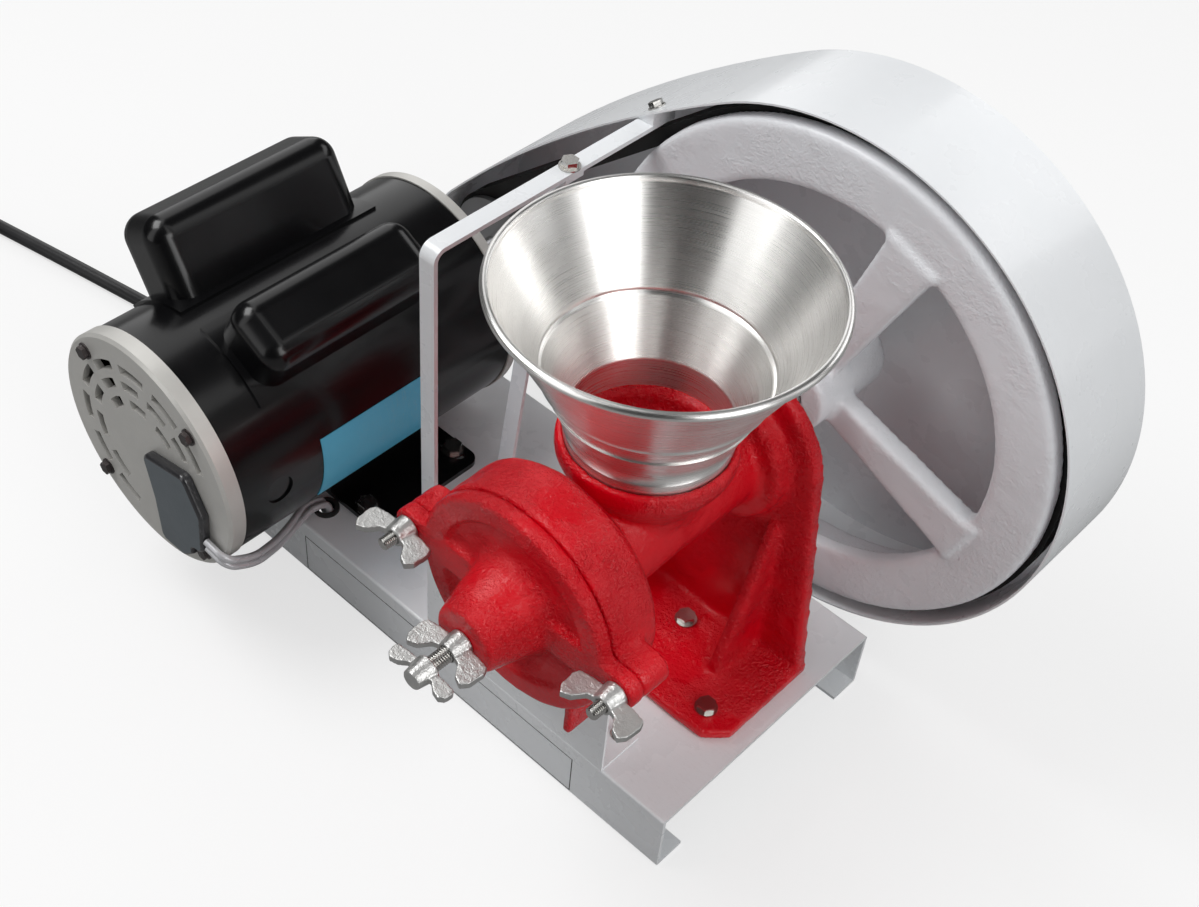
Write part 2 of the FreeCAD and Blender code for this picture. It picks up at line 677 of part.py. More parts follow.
def capacitor(label, top, length, lean):
    """A can that stands on the shell by a shaped saddle."""
    can_length = length - 2 * S.cover_corner_radius
    body = turned_body(label, [(ZERO, ZERO), (S.capacitor_radius, ZERO),
                               (S.capacitor_radius, can_length), (ZERO, can_length)])
    rise = top - S.cover_wall - S.capacitor_radius - S.capacitor_gap
    saddle_low = S.shell_radius - S.shell_wall - rise
    foot_block = new_sketch(body, "XY_Plane", saddle_low)
    across = S.capacitor_radius * HALF
    add_outline(foot_block, [(-across, ZERO), (across, ZERO), (across, can_length),
                             (-across, can_length)])
    add_pad(body, foot_block, -saddle_low)
    cut_across(body, lambda sketch: add_circle(sketch, ZERO, -rise, S.shell_radius),
               -10 * S.capacitor_gap, can_length + 10 * S.capacitor_gap)
    lean_number = as_size(lean)
    seat(body, S.motor_x + rise * sine(lean_number), S.cover_corner_radius - S.cover_lead,
         motor_z + rise * cosine(lean_number), axis=ALONG_Y, angle=lean)


for name, rise, length, lean in (
        ("run_capacitor", S.run_cover_rise, S.run_cover_length, S.cover_tilt),
        ("start_capacitor", S.start_cover_rise, S.start_cover_length, -S.cover_tilt)):
    capacitor_cover(f"{name}_cover", S.shell_radius + rise, length, lean)
    capacitor(name, S.shell_radius + rise, length, lean)

# Terminal cover and nameplate

TERMINAL_CORNERS = [
    (60, 0.11), (20, 0.62), (-9, 0.76), (-36, 0.88), (-60, 0.9), (-79, 0.8), (-68, 0.36)]
terminal = new_body("terminal_cover")


def terminal_outline(sketch):
    corners = []
    for angle, share in TERMINAL_CORNERS:
        turn, reach = Size(angle), S.shell_radius * share
        corners.append((reach * cosine(turn), reach * sine(turn)))
    add_outline(sketch, corners[::-1])


raised = slab_across(terminal, terminal_outline, -S.terminal_cover_depth, ZERO)
rounded = soften(terminal, raised, lambda edge: is_along(edge, ALONG_Y), S.terminal_corner_radius)
soften(terminal, rounded,
       lambda edge: all(p.y < -S.terminal_cover_depth.number + 1e-6 for p in ends_of(edge)),
       Size(1.5), "Chamfer")
head_room = S.through_bolt_radius * HEAD_ROOM
cut_across(terminal, lambda sketch: add_circle(sketch, diagonal, -diagonal, head_room),
           -S.terminal_cover_depth, ZERO)
seat(terminal, S.motor_x, motor_front, motor_z)

plate = new_body("motor_nameplate")
plate_sketch = new_sketch(plate, "XY_Plane")
plate_outer = S.shell_radius + S.nameplate_thickness
add_outline(plate_sketch, [(S.shell_radius, ZERO), (plate_outer, ZERO),
                           (plate_outer, S.nameplate_length), (S.shell_radius, S.nameplate_length)])
sweep = plate.newObject("PartDesign::Revolution", "nameplate_sweep")
sweep.Profile = plate_sketch
sweep.ReferenceAxis = (plate_sketch, ["V_Axis"])
bind(sweep, Angle=S.nameplate_high_angle - S.nameplate_low_angle)
seat(plate, S.motor_x, S.nameplate_start, motor_z, axis=ALONG_Y, angle=-S.nameplate_high_angle)

# Motor works

WINDING_SLOTS = 12
stator = new_body("stator_core")
stator_bore = S.rotor_radius + S.air_gap
slot_radius = Size(6)
slot_circle = (stator_bore + S.shell_radius - S.core_inset) * HALF - 2


def stator_outline(sketch):
    add_circle(sketch, ZERO, ZERO, spigot_outer)
    add_circle(sketch, ZERO, ZERO, stator_bore)
    for x, z in bolt_corners:
        add_circle(sketch, x, z, bolt_bore)


def slot_places():
    for number in range(WINDING_SLOTS):
        turn = Size(360 / WINDING_SLOTS * number + 15)
        yield slot_circle * cosine(turn), slot_circle * sine(turn)


def slot_outline(sketch):
    for x, z in slot_places():
        add_circle(sketch, x, z, slot_radius)


slab_across(stator, stator_outline, ZERO, S.core_length)
cut_across(stator, slot_outline, ZERO, S.core_length)
seat(stator, S.motor_x, S.core_start, motor_z)

winding = new_body("stator_winding")
coil_inner = slot_circle - slot_radius - 2
coil_outer = slot_circle + slot_radius + 2
over = S.winding_overhang
bevel = Size(5)
for place, outward in ((ZERO, -1), (S.core_length, 1)):
    add_turning(winding, "Revolution", "XY_Plane", [
        (coil_inner, place), (coil_outer, place), (coil_outer, place + outward * (over - bevel)),
        (coil_outer - bevel, place + outward * over), (coil_inner + bevel, place + outward * over),
        (coil_inner, place + outward * (over - bevel))])
    if outward < 0:
        slab_across(winding, slot_outline, -bevel, S.core_length + bevel)
seat(winding, S.motor_x, S.core_start, motor_z)

ring_overhang = Size(6)
turned_rotor = turned_body("motor_rotor", [
    (S.motor_shaft_radius, -ring_overhang), (S.rotor_radius - bevel, -ring_overhang),
    (S.rotor_radius - bevel, ZERO), (S.rotor_radius, ZERO), (S.rotor_radius, S.core_length),
    (S.rotor_radius - bevel, S.core_length),
    (S.rotor_radius - bevel, S.core_length + ring_overhang),
    (S.motor_shaft_radius, S.core_length + ring_overhang)])
seat(turned_rotor, S.motor_x, S.core_start, motor_z)

bearing_bore = S.motor_shaft_radius + S.running_fit
shaft_front = motor_front + S.end_plate + 1
rear_bearing = shell_end + S.rear_ring_depth - S.end_plate - S.bearing_width
for label, place in (("motor_bearing_front", motor_front + S.end_plate),
                     ("motor_bearing_rear", rear_bearing)):
    relief = Size(1)
    step = (S.bearing_radius - bearing_bore) / 3
    ring = turned_body(label, [
        (bearing_bore, ZERO), (bearing_bore + step, ZERO), (bearing_bore + step, relief),
        (S.bearing_radius - step, relief), (S.bearing_radius - step, ZERO),
        (S.bearing_radius, ZERO), (S.bearing_radius, S.bearing_width),
        (S.bearing_radius - step, S.bearing_width),
        (S.bearing_radius - step, S.bearing_width - relief),
        (bearing_bore + step, S.bearing_width - relief), (bearing_bore + step, S.bearing_width),
        (bearing_bore, S.bearing_width)])
    seat(ring, S.motor_x, place, motor_z)
motor_shaft_end = shell_end + S.rear_ring_depth + S.motor_shaft_reach
shaft_length = motor_shaft_end - shaft_front
tip_bevel = Size(1)
motor_shaft = turned_body("motor_shaft", [
    (ZERO, ZERO), (S.motor_shaft_radius - tip_bevel, ZERO), (S.motor_shaft_radius, tip_bevel),
    (S.motor_shaft_radius, shaft_length - tip_bevel),
    (S.motor_shaft_radius - tip_bevel, shaft_length), (ZERO, shaft_length)])
seat(motor_shaft, S.motor_x, shaft_front, motor_z)

fan = new_body("cooling_fan")
fan_hub = S.motor_shaft_radius + 6


def fan_disc(sketch):
    add_circle(sketch, ZERO, ZERO, S.fan_radius * 0.8)
    add_circle(sketch, ZERO, ZERO, S.motor_shaft_radius)


def fan_hub_ring(sketch):
    add_circle(sketch, ZERO, ZERO, fan_hub)
    add_circle(sketch, ZERO, ZERO, S.motor_shaft_radius)


fan_web = Size(2)
slab_across(fan, fan_disc, S.fan_depth - fan_web, S.fan_depth)
slab_across(fan, fan_hub_ring, ZERO, S.fan_depth)
blade_sketch = new_sketch(fan, "XZ_Plane", -S.fan_depth)
add_outline(blade_sketch, [(fan_hub - 1, -fan_web * HALF), (S.fan_radius, -fan_web * HALF),
                           (S.fan_radius, fan_web * HALF), (fan_hub - 1, fan_web * HALF)])
blade = add_pad(fan, blade_sketch, S.fan_depth)
blades = fan.newObject("PartDesign::PolarPattern", "fan_blades")
blades.Originals = [blade]
blades.Axis = (blade_sketch, ["N_Axis"])
blades.Angle = 360
bind(blades, Occurrences=S.fan_blade_count)
fan.Tip = blades
seat(fan, S.motor_x, S.fan_y, motor_z)

# V-belt drive

flank = Size(18)
flank_slope = sine(flank) / cosine(flank)
groove_depth = S.belt_depth - S.belt_proud + S.belt_clearance
mouth_half = S.belt_width * HALF + S.belt_clearance - S.belt_proud * flank_slope
floor_half = mouth_half - groove_depth * flank_slope
middle_of_pulley = S.pulley_width * HALF
pulley = turned_body("motor_pulley", [
    (S.motor_shaft_radius, ZERO), (S.pulley_radius, ZERO),
    (S.pulley_radius, middle_of_pulley - mouth_half),
    (S.pulley_radius - groove_depth, middle_of_pulley - floor_half),
    (S.pulley_radius - groove_depth, middle_of_pulley + floor_half),
    (S.pulley_radius, middle_of_pulley + mouth_half), (S.pulley_radius, S.pulley_width),
    (S.motor_shaft_radius, S.pulley_width)])
seat(pulley, S.motor_x, belt_y - middle_of_pulley, motor_z)

wheel = new_body("flywheel")
rim_in = S.wheel_radius - S.wheel_rim_wall
middle_of_rim = S.wheel_rim_width * HALF
soft_edge = Size(2)
add_turning(wheel, "Revolution", "XY_Plane", [
    (S.wheel_ring_radius, soft_edge), (S.wheel_ring_radius + soft_edge, ZERO),
    (S.wheel_radius - soft_edge, ZERO), (S.wheel_radius, soft_edge),
    (S.wheel_radius, middle_of_rim - mouth_half),
    (S.wheel_radius - groove_depth, middle_of_rim - floor_half),
    (S.wheel_radius - groove_depth, middle_of_rim + floor_half),
    (S.wheel_radius, middle_of_rim + mouth_half), (S.wheel_radius, S.wheel_rim_width),
    (rim_in, S.wheel_rim_width), (rim_in, S.wheel_plate), (S.wheel_ring_radius, S.wheel_plate)])
hub_front = S.wheel_hub_front - S.wheel_front
hub_back = S.wheel_hub_back - S.wheel_front
add_turning(wheel, "Revolution", "XY_Plane", [
    (S.mill_shaft_radius, hub_front), (S.wheel_hub_radius - soft_edge, hub_front),
    (S.wheel_hub_radius, hub_front + soft_edge), (S.wheel_hub_radius, hub_back),
    (S.mill_shaft_radius, hub_back)])
spoke_sketch = new_sketch(wheel, "XZ_Plane", -(S.wheel_plate - 1))
spoke_out = S.wheel_ring_radius + 4
spoke_in = S.wheel_hub_radius - 4
add_outline(spoke_sketch, [
    (spoke_in, -S.spoke_root_half_width), (spoke_out, -S.spoke_tip_half_width),
    (spoke_out, S.spoke_tip_half_width), (spoke_in, S.spoke_root_half_width)])
spoke = add_pad(wheel, spoke_sketch, S.spoke_thickness)
spokes = wheel.newObject("PartDesign::PolarPattern", "wheel_spokes")
spokes.Originals = [spoke]
spokes.Axis = (spoke_sketch, ["N_Axis"])
spokes.Angle = 360
bind(spokes, Occurrences=S.spoke_count)
wheel.Tip = spokes
seat(wheel, S.mill_x, S.wheel_front, mill_z, axis=ALONG_Y, angle=-S.wheel_angle)


def add_loop(sketch, small, large, spacing, bulge=None, split=False):
    """A closed run round two circles on the X axis, with tangent sides; the upper may bulge."""
    span, reach = spacing.number, large.number - small.number
    lean = math.asin(reach / span)
    small_low = -math.pi / 2 - lean
    normal_up = (math.sin(-lean), math.cos(lean))
    low_small = FreeCAD.Vector(small.number * normal_up[0], -small.number * normal_up[1])
    low_large = FreeCAD.Vector(span + large.number * normal_up[0], -large.number * normal_up[1])
    lower = sketch.addGeometry(Part.LineSegment(low_small, low_large), False)
    if bulge is None:
        up_small = FreeCAD.Vector(low_small.x, -low_small.y)
        up_large = FreeCAD.Vector(low_large.x, -low_large.y)
        upper = sketch.addGeometry(Part.LineSegment(up_large, up_small), False)
        up_small_angle, up_large_angle = -small_low, -small_low
    else:
        far, near = bulge.number - small.number, bulge.number - large.number
        opening = math.acos((span * span + far * far - near * near) / (2 * span * far))
        centre = FreeCAD.Vector(far * math.cos(opening), -far * math.sin(opening))
        up_small_angle = math.atan2(-centre.y, -centre.x)
        up_large_angle = math.atan2(-centre.y, span - centre.x)
        circle = Part.Circle(centre, FreeCAD.Vector(0, 0, 1), bulge.number)
        arc = Part.ArcOfCircle(circle, up_large_angle, up_small_angle)
        upper = sketch.addGeometry(arc, False)
        fix_radius(sketch, upper, bulge)
    turn = 2 * math.pi
    small_arc = add_arc(sketch, (ZERO, ZERO), small, up_small_angle % turn, small_low % turn)
    middle = turn if split else up_large_angle + turn
    large_arc = add_arc(sketch, (spacing, ZERO), large, small_low % turn, middle)
    last_arc = large_arc
    if split:
        last_arc = add_arc(sketch, (spacing, ZERO), large, 0, up_large_angle)
        sketch.addConstraint(Sketcher.Constraint("PointOnObject", large_arc, 2, -1))
        sketch.addConstraint(Sketcher.Constraint("PointOnObject", last_arc, 1, -1))
    for first, place, second, other in ((upper, 2, small_arc, 1), (small_arc, 2, lower, 1),
                                        (lower, 2, large_arc, 1), (last_arc, 2, upper, 1)):
        sketch.addConstraint(Sketcher.Constraint("Tangent", first, place, second, other))


belt = new_body("drive_belt")
belt_low_small = S.pulley_radius - groove_depth + S.belt_clearance
belt_low_large = S.wheel_radius - groove_depth + S.belt_clearance
half_base = S.belt_base_width * HALF
belt_path = new_sketch(belt, "XZ_Plane")
add_loop(belt_path, belt_low_small, belt_low_large, axis_distance, split=True)
belt_start = axis_distance + belt_low_large
belt_section = new_sketch(belt, "XY_Plane")
add_outline(belt_section, [
    (belt_start, -half_base), (belt_start + S.belt_depth, -S.belt_width * HALF),
    (belt_start + S.belt_depth, S.belt_width * HALF), (belt_start, half_base)])
belt_run = belt.newObject("PartDesign::AdditivePipe", "belt_run")
belt_run.Profile = belt_section
belt_run.Spine = belt_path
seat(belt, S.motor_x, belt_y, motor_z, axis=ALONG_Y, angle=-axis_slope)

# Belt guard, open towards the mill

guard = new_body("belt_guard")


def guard_outline(inset):
    def draw(sketch):
        add_loop(sketch, S.guard_small_radius - inset, guard_radius - inset, axis_distance,
                 bulge=S.guard_bulge_radius - inset)
    return draw


slab_across(guard, guard_outline(ZERO), ZERO, S.guard_depth)
cut_across(guard, guard_outline(S.guard_sheet), ZERO, S.guard_depth - S.guard_sheet)
seat(guard, S.motor_x, S.wheel_front, motor_z, axis=ALONG_Y, angle=-axis_slope)

# Bracket under the guard's lower run

run_lean = arc_sine((guard_radius - S.guard_small_radius) / axis_distance) - axis_slope
bracket_drop = (S.bracket_x - S.motor_x) * sine(run_lean) / cosine(run_lean)
bracket_top = motor_z - S.guard_small_radius / cosine(run_lean) - bracket_drop
bracket = new_body("guard_bracket")
bracket_profile = new_sketch(bracket, "YZ_Plane")
leaf = S.bracket_sheet
add_outline(bracket_profile, [
    (ZERO, -S.bracket_leaf), (leaf, -S.bracket_leaf), (leaf, -leaf), (S.bracket_reach, -leaf),
    (S.bracket_reach, ZERO), (ZERO, ZERO)])
bracket_length = S.bracket_leaf * 1.5
add_pad(bracket, bracket_profile, bracket_length)
seat(bracket, S.bracket_x, S.base_width, bracket_top, axis=ALONG_Y, angle=run_lean)

# Flat bar frame that carries the guard

opening = arc_cosine((axis_distance * axis_distance
                      + (S.guard_bulge_radius - S.guard_small_radius)
                      * (S.guard_bulge_radius - S.guard_small_radius)
                      - (S.guard_bulge_radius - guard_radius)
                      * (S.guard_bulge_radius - guard_radius))
                     / (2 * axis_distance * (S.guard_bulge_radius - S.guard_small_radius)))
bulge_turn = axis_slope - opening
bulge_reach = S.guard_bulge_radius - S.guard_small_radius
bulge_x = S.motor_x + bulge_reach * cosine(bulge_turn)
bulge_z = motor_z + bulge_reach * sine(bulge_turn)
skin_inside = S.guard_bulge_radius - S.guard_sheet


def skin_height(x, reach):
    across = bulge_x - x
    return bulge_z + root(reach * reach - across * across)


bar_half = S.bar_width * HALF
seat_left = skin_height(S.bar_x - bar_half, skin_inside)
seat_right = skin_height(S.bar_x + bar_half, skin_inside)
bar_top = seat_left - 1 - base_top
bar_end = S.wheel_front + S.guard_lap - S.bar_front
bar = new_body("guard_frame_bar")
bar_profile = new_sketch(bar, "YZ_Plane")
gauge = S.bar_thickness
screw_y = S.wheel_front + S.guard_lap * HALF
screw_z = skin_height(S.bar_x, S.guard_bulge_radius)
skin_tilt = arc_sine((bulge_x - S.bar_x) / S.guard_bulge_radius)
skin_lean = skin_tilt - axis_slope
screw_x, screw_rise = S.bar_x - S.motor_x, screw_z - motor_z
screw_along = screw_x * cosine(axis_slope) + screw_rise * sine(axis_slope)
screw_room = (S.guard_sheet + hole_clearance) * sine(skin_lean)
cut_holes(guard, "XY_Plane", ZERO, [(screw_along + screw_room * HALF, S.guard_lap * HALF)],
          screw_hole + screw_room, guard_radius, reverse=True)
add_outline(bar_profile, [
    (ZERO, ZERO), (S.bar_foot, ZERO), (S.bar_foot, gauge), (gauge, gauge),
    (gauge, bar_top - gauge), (bar_end, bar_top - gauge), (bar_end, bar_top), (ZERO, bar_top)])
strip = add_pad(bar, bar_profile, S.bar_width, symmetric=True)


def at_bar_corner(inside):
    def test(edge):
        if not is_along(edge, ALONG_X):
            return False
        point = ends_of(edge)[0]
        lift = gauge.number if inside else 0
        return math.hypot(point.y - lift, point.z - (bar_top.number - lift)) < 1e-6
    return test


inner_bend = soften(bar, strip, at_bar_corner(True), S.bar_bend_radius - gauge)
soften(bar, inner_bend, at_bar_corner(False), S.bar_bend_radius)
seat_start = S.wheel_front + S.guard_sheet - S.bar_front


def bar_seat(sketch):
    add_outline(sketch, [
        (-bar_half, bar_top - gauge), (bar_half, bar_top - gauge),
        (bar_half, seat_right - base_top), (-bar_half, seat_left - base_top)])


slab_across(bar, bar_seat, seat_start, bar_end)
grip_drift = (S.guard_sheet + S.guard_grip * HALF) * sine(skin_tilt)
grip_room = S.small_screw_radius / cosine(skin_tilt) + S.guard_grip * HALF * sine(skin_tilt)
grip_top = screw_z - base_top + gauge
cut_holes(bar, "XY_Plane", grip_top, [(grip_drift, screw_y - S.bar_front)],
          grip_room + hole_clearance, grip_top - bar_top + 2 * gauge)
cut_holes(bar, "XY_Plane", gauge, [(ZERO, S.bar_foot * HALF)], screw_hole, 2 * gauge)
frame_hole = S.frame_bolt_radius + hole_clearance
cut_holes(bar, "XY_Plane", bar_top, [(ZERO, S.bar_bolt_y - S.bar_front)], frame_hole, 2 * gauge)
seat(bar, S.bar_x, S.bar_front, base_top)

rear_leg = new_body("guard_rear_leg")
leg_profile = new_sketch(rear_leg, "YZ_Plane")
leg_top = bar_top - gauge
leg_lap = S.bar_foot * HALF
leg_top_y = leg_lap + S.leg_lean
leg_kink = leg_top - 2 * S.bar_bend_radius
add_outline(leg_profile, [
    (ZERO, ZERO), (S.bar_foot, ZERO), (S.bar_foot, gauge), (gauge, gauge),
    (S.leg_lean + gauge, leg_kink), (leg_top_y, leg_top - gauge),
    (leg_top_y + leg_lap, leg_top - gauge), (leg_top_y + leg_lap, leg_top),
    (leg_top_y - gauge, leg_top), (S.leg_lean, leg_kink)])
add_pad(rear_leg, leg_profile, S.bar_width, symmetric=True)
leg_start = S.bar_bolt_y - S.leg_lean - leg_lap - leg_lap * HALF
cut_holes(rear_leg, "XY_Plane", gauge, [(ZERO, S.bar_foot * HALF)], screw_hole, 2 * gauge)
cut_holes(rear_leg, "XY_Plane", leg_top, [(ZERO, S.bar_bolt_y - leg_start)], frame_hole, 2 * gauge)
seat(rear_leg, S.bar_x, leg_start, base_top)
seat_bolt("frame_bolt", S.frame_bolt_radius, 3 * gauge, S.bar_x, S.bar_bolt_y, base_top + bar_top)
seat_bolt("guard_screw", S.small_screw_radius, S.guard_sheet + S.guard_grip, S.bar_x, screw_y,
          screw_z, axis=ALONG_Y, angle=-skin_tilt)

# Cast mill body: drum, barrel, neck, stand and spout in one casting

mill = new_body("mill_body")
front = drum_front - S.neck_y
back_of_drum = drum_back - S.neck_y
plate_front = S.stand_back - S.stand_plate - S.neck_y
plate_back = S.stand_back - S.neck_y
rear_end = plate_back + S.rear_boss_depth
low = base_top - mill_z
round_edge = Size(3)
add_turning(mill, "Revolution", "XY_Plane", [
    (ZERO, front), (S.drum_radius, front), (S.drum_radius, back_of_drum - 2 * round_edge),
    (S.drum_radius - 2 * round_edge, back_of_drum), (S.front_boss_radius + round_edge, back_of_drum),
    (S.barrel_radius, back_of_drum + 4 * round_edge),
    (S.barrel_radius, plate_front - S.front_boss_depth),
    (S.front_boss_radius - round_edge, plate_front - S.front_boss_depth),
    (S.front_boss_radius, plate_front - S.front_boss_depth + round_edge),
    (S.front_boss_radius, plate_front), (S.front_boss_radius, plate_back),
    (S.rear_boss_radius, plate_back), (S.rear_boss_radius, rear_end - round_edge),
    (S.rear_boss_radius - round_edge, rear_end), (ZERO, rear_end)])


def stand_outline(sketch):
    """The upright plate: an arch over the axis that widens down to the foot."""
    arch, wide = S.stand_arch_radius, S.stand_half_width
    start = arc_sine((wide - arch) / -low)
    lean = start.number
    angle = math.radians(lean)
    arc = add_arc(sketch, (ZERO, ZERO), arch, angle, math.pi - angle)
    right = FreeCAD.Vector(arch.number * math.cos(angle), arch.number * math.sin(angle))
    corner_right, corner_left = vector(wide, low), vector(-wide, low)
    side = sketch.addGeometry(Part.LineSegment(corner_right, right), False)
    other = FreeCAD.Vector(-right.x, right.y)
    mirror = sketch.addGeometry(Part.LineSegment(other, corner_left), False)
    floor = sketch.addGeometry(Part.LineSegment(corner_left, corner_right), False)
    sketch.addConstraint(Sketcher.Constraint("Tangent", side, 2, arc, 1))
    sketch.addConstraint(Sketcher.Constraint("Tangent", arc, 2, mirror, 1))
    sketch.addConstraint(Sketcher.Constraint("Coincident", mirror, 2, floor, 1))
    sketch.addConstraint(Sketcher.Constraint("Coincident", floor, 2, side, 1))
    fix_point(sketch, side, 1, wide, low)
    fix_point(sketch, mirror, 2, -wide, low)


slab_across(mill, stand_outline, plate_front, plate_back)
foot_front = S.stand_foot_front - S.neck_y
corner = S.stand_corner_radius
foot_sketch = new_sketch(mill, "XY_Plane", low)
add_outline(foot_sketch, [
    (-S.stand_half_width, foot_front + corner), (corner - S.stand_half_width, foot_front),
    (S.stand_half_width - corner, foot_front), (S.stand_half_width, foot_front + corner),
    (S.stand_half_width, plate_back), (-S.stand_half_width, plate_back)])
add_pad(mill, foot_sketch, S.stand_foot)
gusset_toe = S.gusset_front - S.neck_y
gusset_low = low + S.stand_foot
for side in (-1, 1):
    near = side * S.gusset_offset - S.gusset_thickness * HALF
    gusset = new_sketch(mill, "YZ_Plane", near)
    add_outline(gusset, [(gusset_toe, gusset_low - 1), (plate_front + 1, gusset_low - 1),
                         (plate_front + 1, gusset_low + S.gusset_height),
                         (plate_front - 4, gusset_low + S.gusset_height),
                         (gusset_toe, gusset_low + 4)])
    add_pad(mill, gusset, S.gusset_thickness)
neck_top = S.neck_height
lip_low = neck_top - S.neck_lip
cone_top = lip_low - S.neck_lip
add_turning(mill, "Revolution", "XZ_Plane", [
    (ZERO, ZERO), (S.barrel_radius - 4, ZERO), (S.neck_waist_radius, S.barrel_radius - 7),
    (S.neck_radius - round_edge, cone_top + 6),
    (S.neck_radius, lip_low), (S.neck_radius, neck_top - soft_edge),
    (S.neck_radius - soft_edge, neck_top), (ZERO, neck_top)])
lug_end = front + S.body_lug_depth


def lug_outline(reach):
    def draw(sketch):
        add_slot(sketch, -S.lug_offset, ZERO, S.lug_offset, ZERO, reach)
    return draw


slab_across(mill, lug_outline(S.lug_radius), front, lug_end)
spout_low = -S.spout_drop
spout_front = front
spout_back = back_of_drum - S.drum_back_wall * HALF
spout_sketch = new_sketch(mill, "XY_Plane", spout_low)
add_outline(spout_sketch, [
    (-S.spout_half_width, spout_front), (S.spout_half_width, spout_front),
    (S.spout_half_width, spout_back), (-S.spout_half_width, spout_back)])
add_pad(mill, spout_sketch, S.spout_drop - S.chamber_radius * HALF)
chamber_end = back_of_drum - S.drum_back_wall
auger_bore = S.auger_radius + 1
bush_start = rear_end - S.bush_length
add_turning(mill, "Groove", "XY_Plane", [
    (ZERO, front), (S.chamber_radius, front), (S.chamber_radius, chamber_end),
    (auger_bore, chamber_end), (auger_bore, bush_start), (S.bush_radius, bush_start),
    (S.bush_radius, rear_end), (ZERO, rear_end)])
add_turning(mill, "Groove", "XZ_Plane", [
    (ZERO, ZERO), (S.throat_low_radius, ZERO), (S.throat_low_radius, auger_bore),
    (S.throat_radius, neck_top - S.socket_depth - S.throat_land), (S.throat_radius, neck_top - S.socket_depth),
    (S.spigot_radius + S.spigot_fit, neck_top - S.socket_depth),
    (S.spigot_radius + S.spigot_fit, neck_top), (ZERO, neck_top)])
chute = new_sketch(mill, "XY_Plane", spout_low)
chute_half = S.spout_half_width - S.spout_wall
add_outline(chute, [
    (-chute_half, front), (chute_half, front), (chute_half, chamber_end), (-chute_half, chamber_end)])
add_pocket(mill, chute, S.spout_drop - S.chamber_radius * HALF, reverse=True)
stud_places = [(-S.lug_offset, ZERO), (S.lug_offset, ZERO)]
cut_across(mill, lambda sketch: [add_circle(sketch, x, z, S.stud_radius) for x, z in stud_places],
           front, front + S.stud_embed)
mill_foot_places = [(x - S.mill_x, y - S.neck_y) for x, y in stand_places]
cut_holes(mill, "XY_Plane", low + S.stand_foot, mill_foot_places, stand_hole, 2 * S.stand_foot)
seat(mill, S.mill_x, S.neck_y, mill_z)
stand_bolt_length = S.stand_foot + 4 * wall
for number, (x, y) in enumerate(stand_places, 1):
    seat_bolt(f"mill_stand_bolt_{number}", S.stand_bolt_radius, stand_bolt_length, x, y,
              base_top + S.stand_foot)

# Mill cover with its conical nose

cover = new_body("mill_cover")
face = -S.cover_rim
add_turning(cover, "Revolution", "XY_Plane", [
    (ZERO, ZERO), (S.cover_radius - 1, ZERO), (S.cover_radius, -1 * Size(1)),
    (S.cover_radius, face + soft_edge), (S.cover_radius - soft_edge, face),
    (S.dish_radius + soft_edge, face), (S.dish_radius, face + S.dish_depth),
    (S.nose_root_radius + 4, face + S.dish_depth), (S.nose_root_radius, face),
    (S.nose_radius + soft_edge, face - S.nose_length + soft_edge),
    (S.nose_radius, face - S.nose_length), (ZERO, face - S.nose_length)])
slab_across(cover, lug_outline(S.lug_radius), face, ZERO)
screw_bore = S.screw_radius + S.running_fit
tip_room = S.mill_shaft_radius + 3
add_turning(cover, "Groove", "XY_Plane", [
    (ZERO, face - S.nose_length), (screw_bore, face - S.nose_length), (screw_bore, face),
    (tip_room, face), (tip_room, ZERO), (ZERO, ZERO)])
stud_hole = S.stud_radius + hole_clearance
cut_across(cover, lambda sketch: [add_circle(sketch, x, z, stud_hole) for x, z in stud_places],
           face, ZERO)
seat(cover, S.mill_x, drum_front, mill_z)

STUD_SIDES = {"left": -1, "right": 1}
stud_length = S.stud_embed + S.cover_rim + S.stud_reach
for side, sign in STUD_SIDES.items():
    stud = turned_body(f"cover_stud_{side}", [
        (ZERO, ZERO), (S.stud_radius - 1, ZERO), (S.stud_radius, Size(1)),
        (S.stud_radius, stud_length), (ZERO, stud_length)])
    seat(stud, S.mill_x + sign * S.lug_offset, drum_front + S.stud_embed - stud_length, mill_z)


WING_UNDER = ((0.62, 0.03), (0.93, 0.1), (1, 0.3))
WING_OVER = ((0.97, 0.78), (0.83, 1), (0.6, 0.88), (0.4, 0.55))


def add_wings(body, span, height, lift):
    """Two fan-shaped wings of one thickness across the hub."""
    half = span * HALF
    side_wall = S.nut_hub_radius - 1
    right = [(side_wall, lift)]
    right += [(half * reach, lift + height * rise) for reach, rise in WING_UNDER + WING_OVER]
    right += [(side_wall, lift + height * HALF)]
    left = [(-x, z) for x, z in reversed(right)]
    sketch = new_sketch(body, "XZ_Plane")
    add_outline(sketch, right + left)
    return add_pad(body, sketch, S.wing_thickness, symmetric=True)


def wing_nut(label, bore, x, y):
    body = new_body(label)
    hub_top = S.nut_hub_radius * 0.75
    add_turning(body, "Revolution", "XZ_Plane", [
        (ZERO, ZERO), (S.nut_hub_radius, ZERO), (hub_top, S.nut_hub_length),
        (ZERO, S.nut_hub_length)])
    add_wings(body, S.wing_span, S.wing_height - 2, Size(2))
    add_turning(body, "Groove", "XZ_Plane", [
        (ZERO, ZERO), (bore, ZERO), (bore, S.wing_height + 2), (ZERO, S.wing_height + 2)])
    seat(body, x, y, mill_z, **TOWARDS_FRONT)


for side, sign in STUD_SIDES.items():
    wing_nut(f"wing_nut_{side}", S.stud_radius + S.running_fit,
             S.mill_x + sign * S.lug_offset, cover_front)
wing_nut("lock_wing_nut", screw_bore + S.running_fit, S.mill_x, nose_tip)

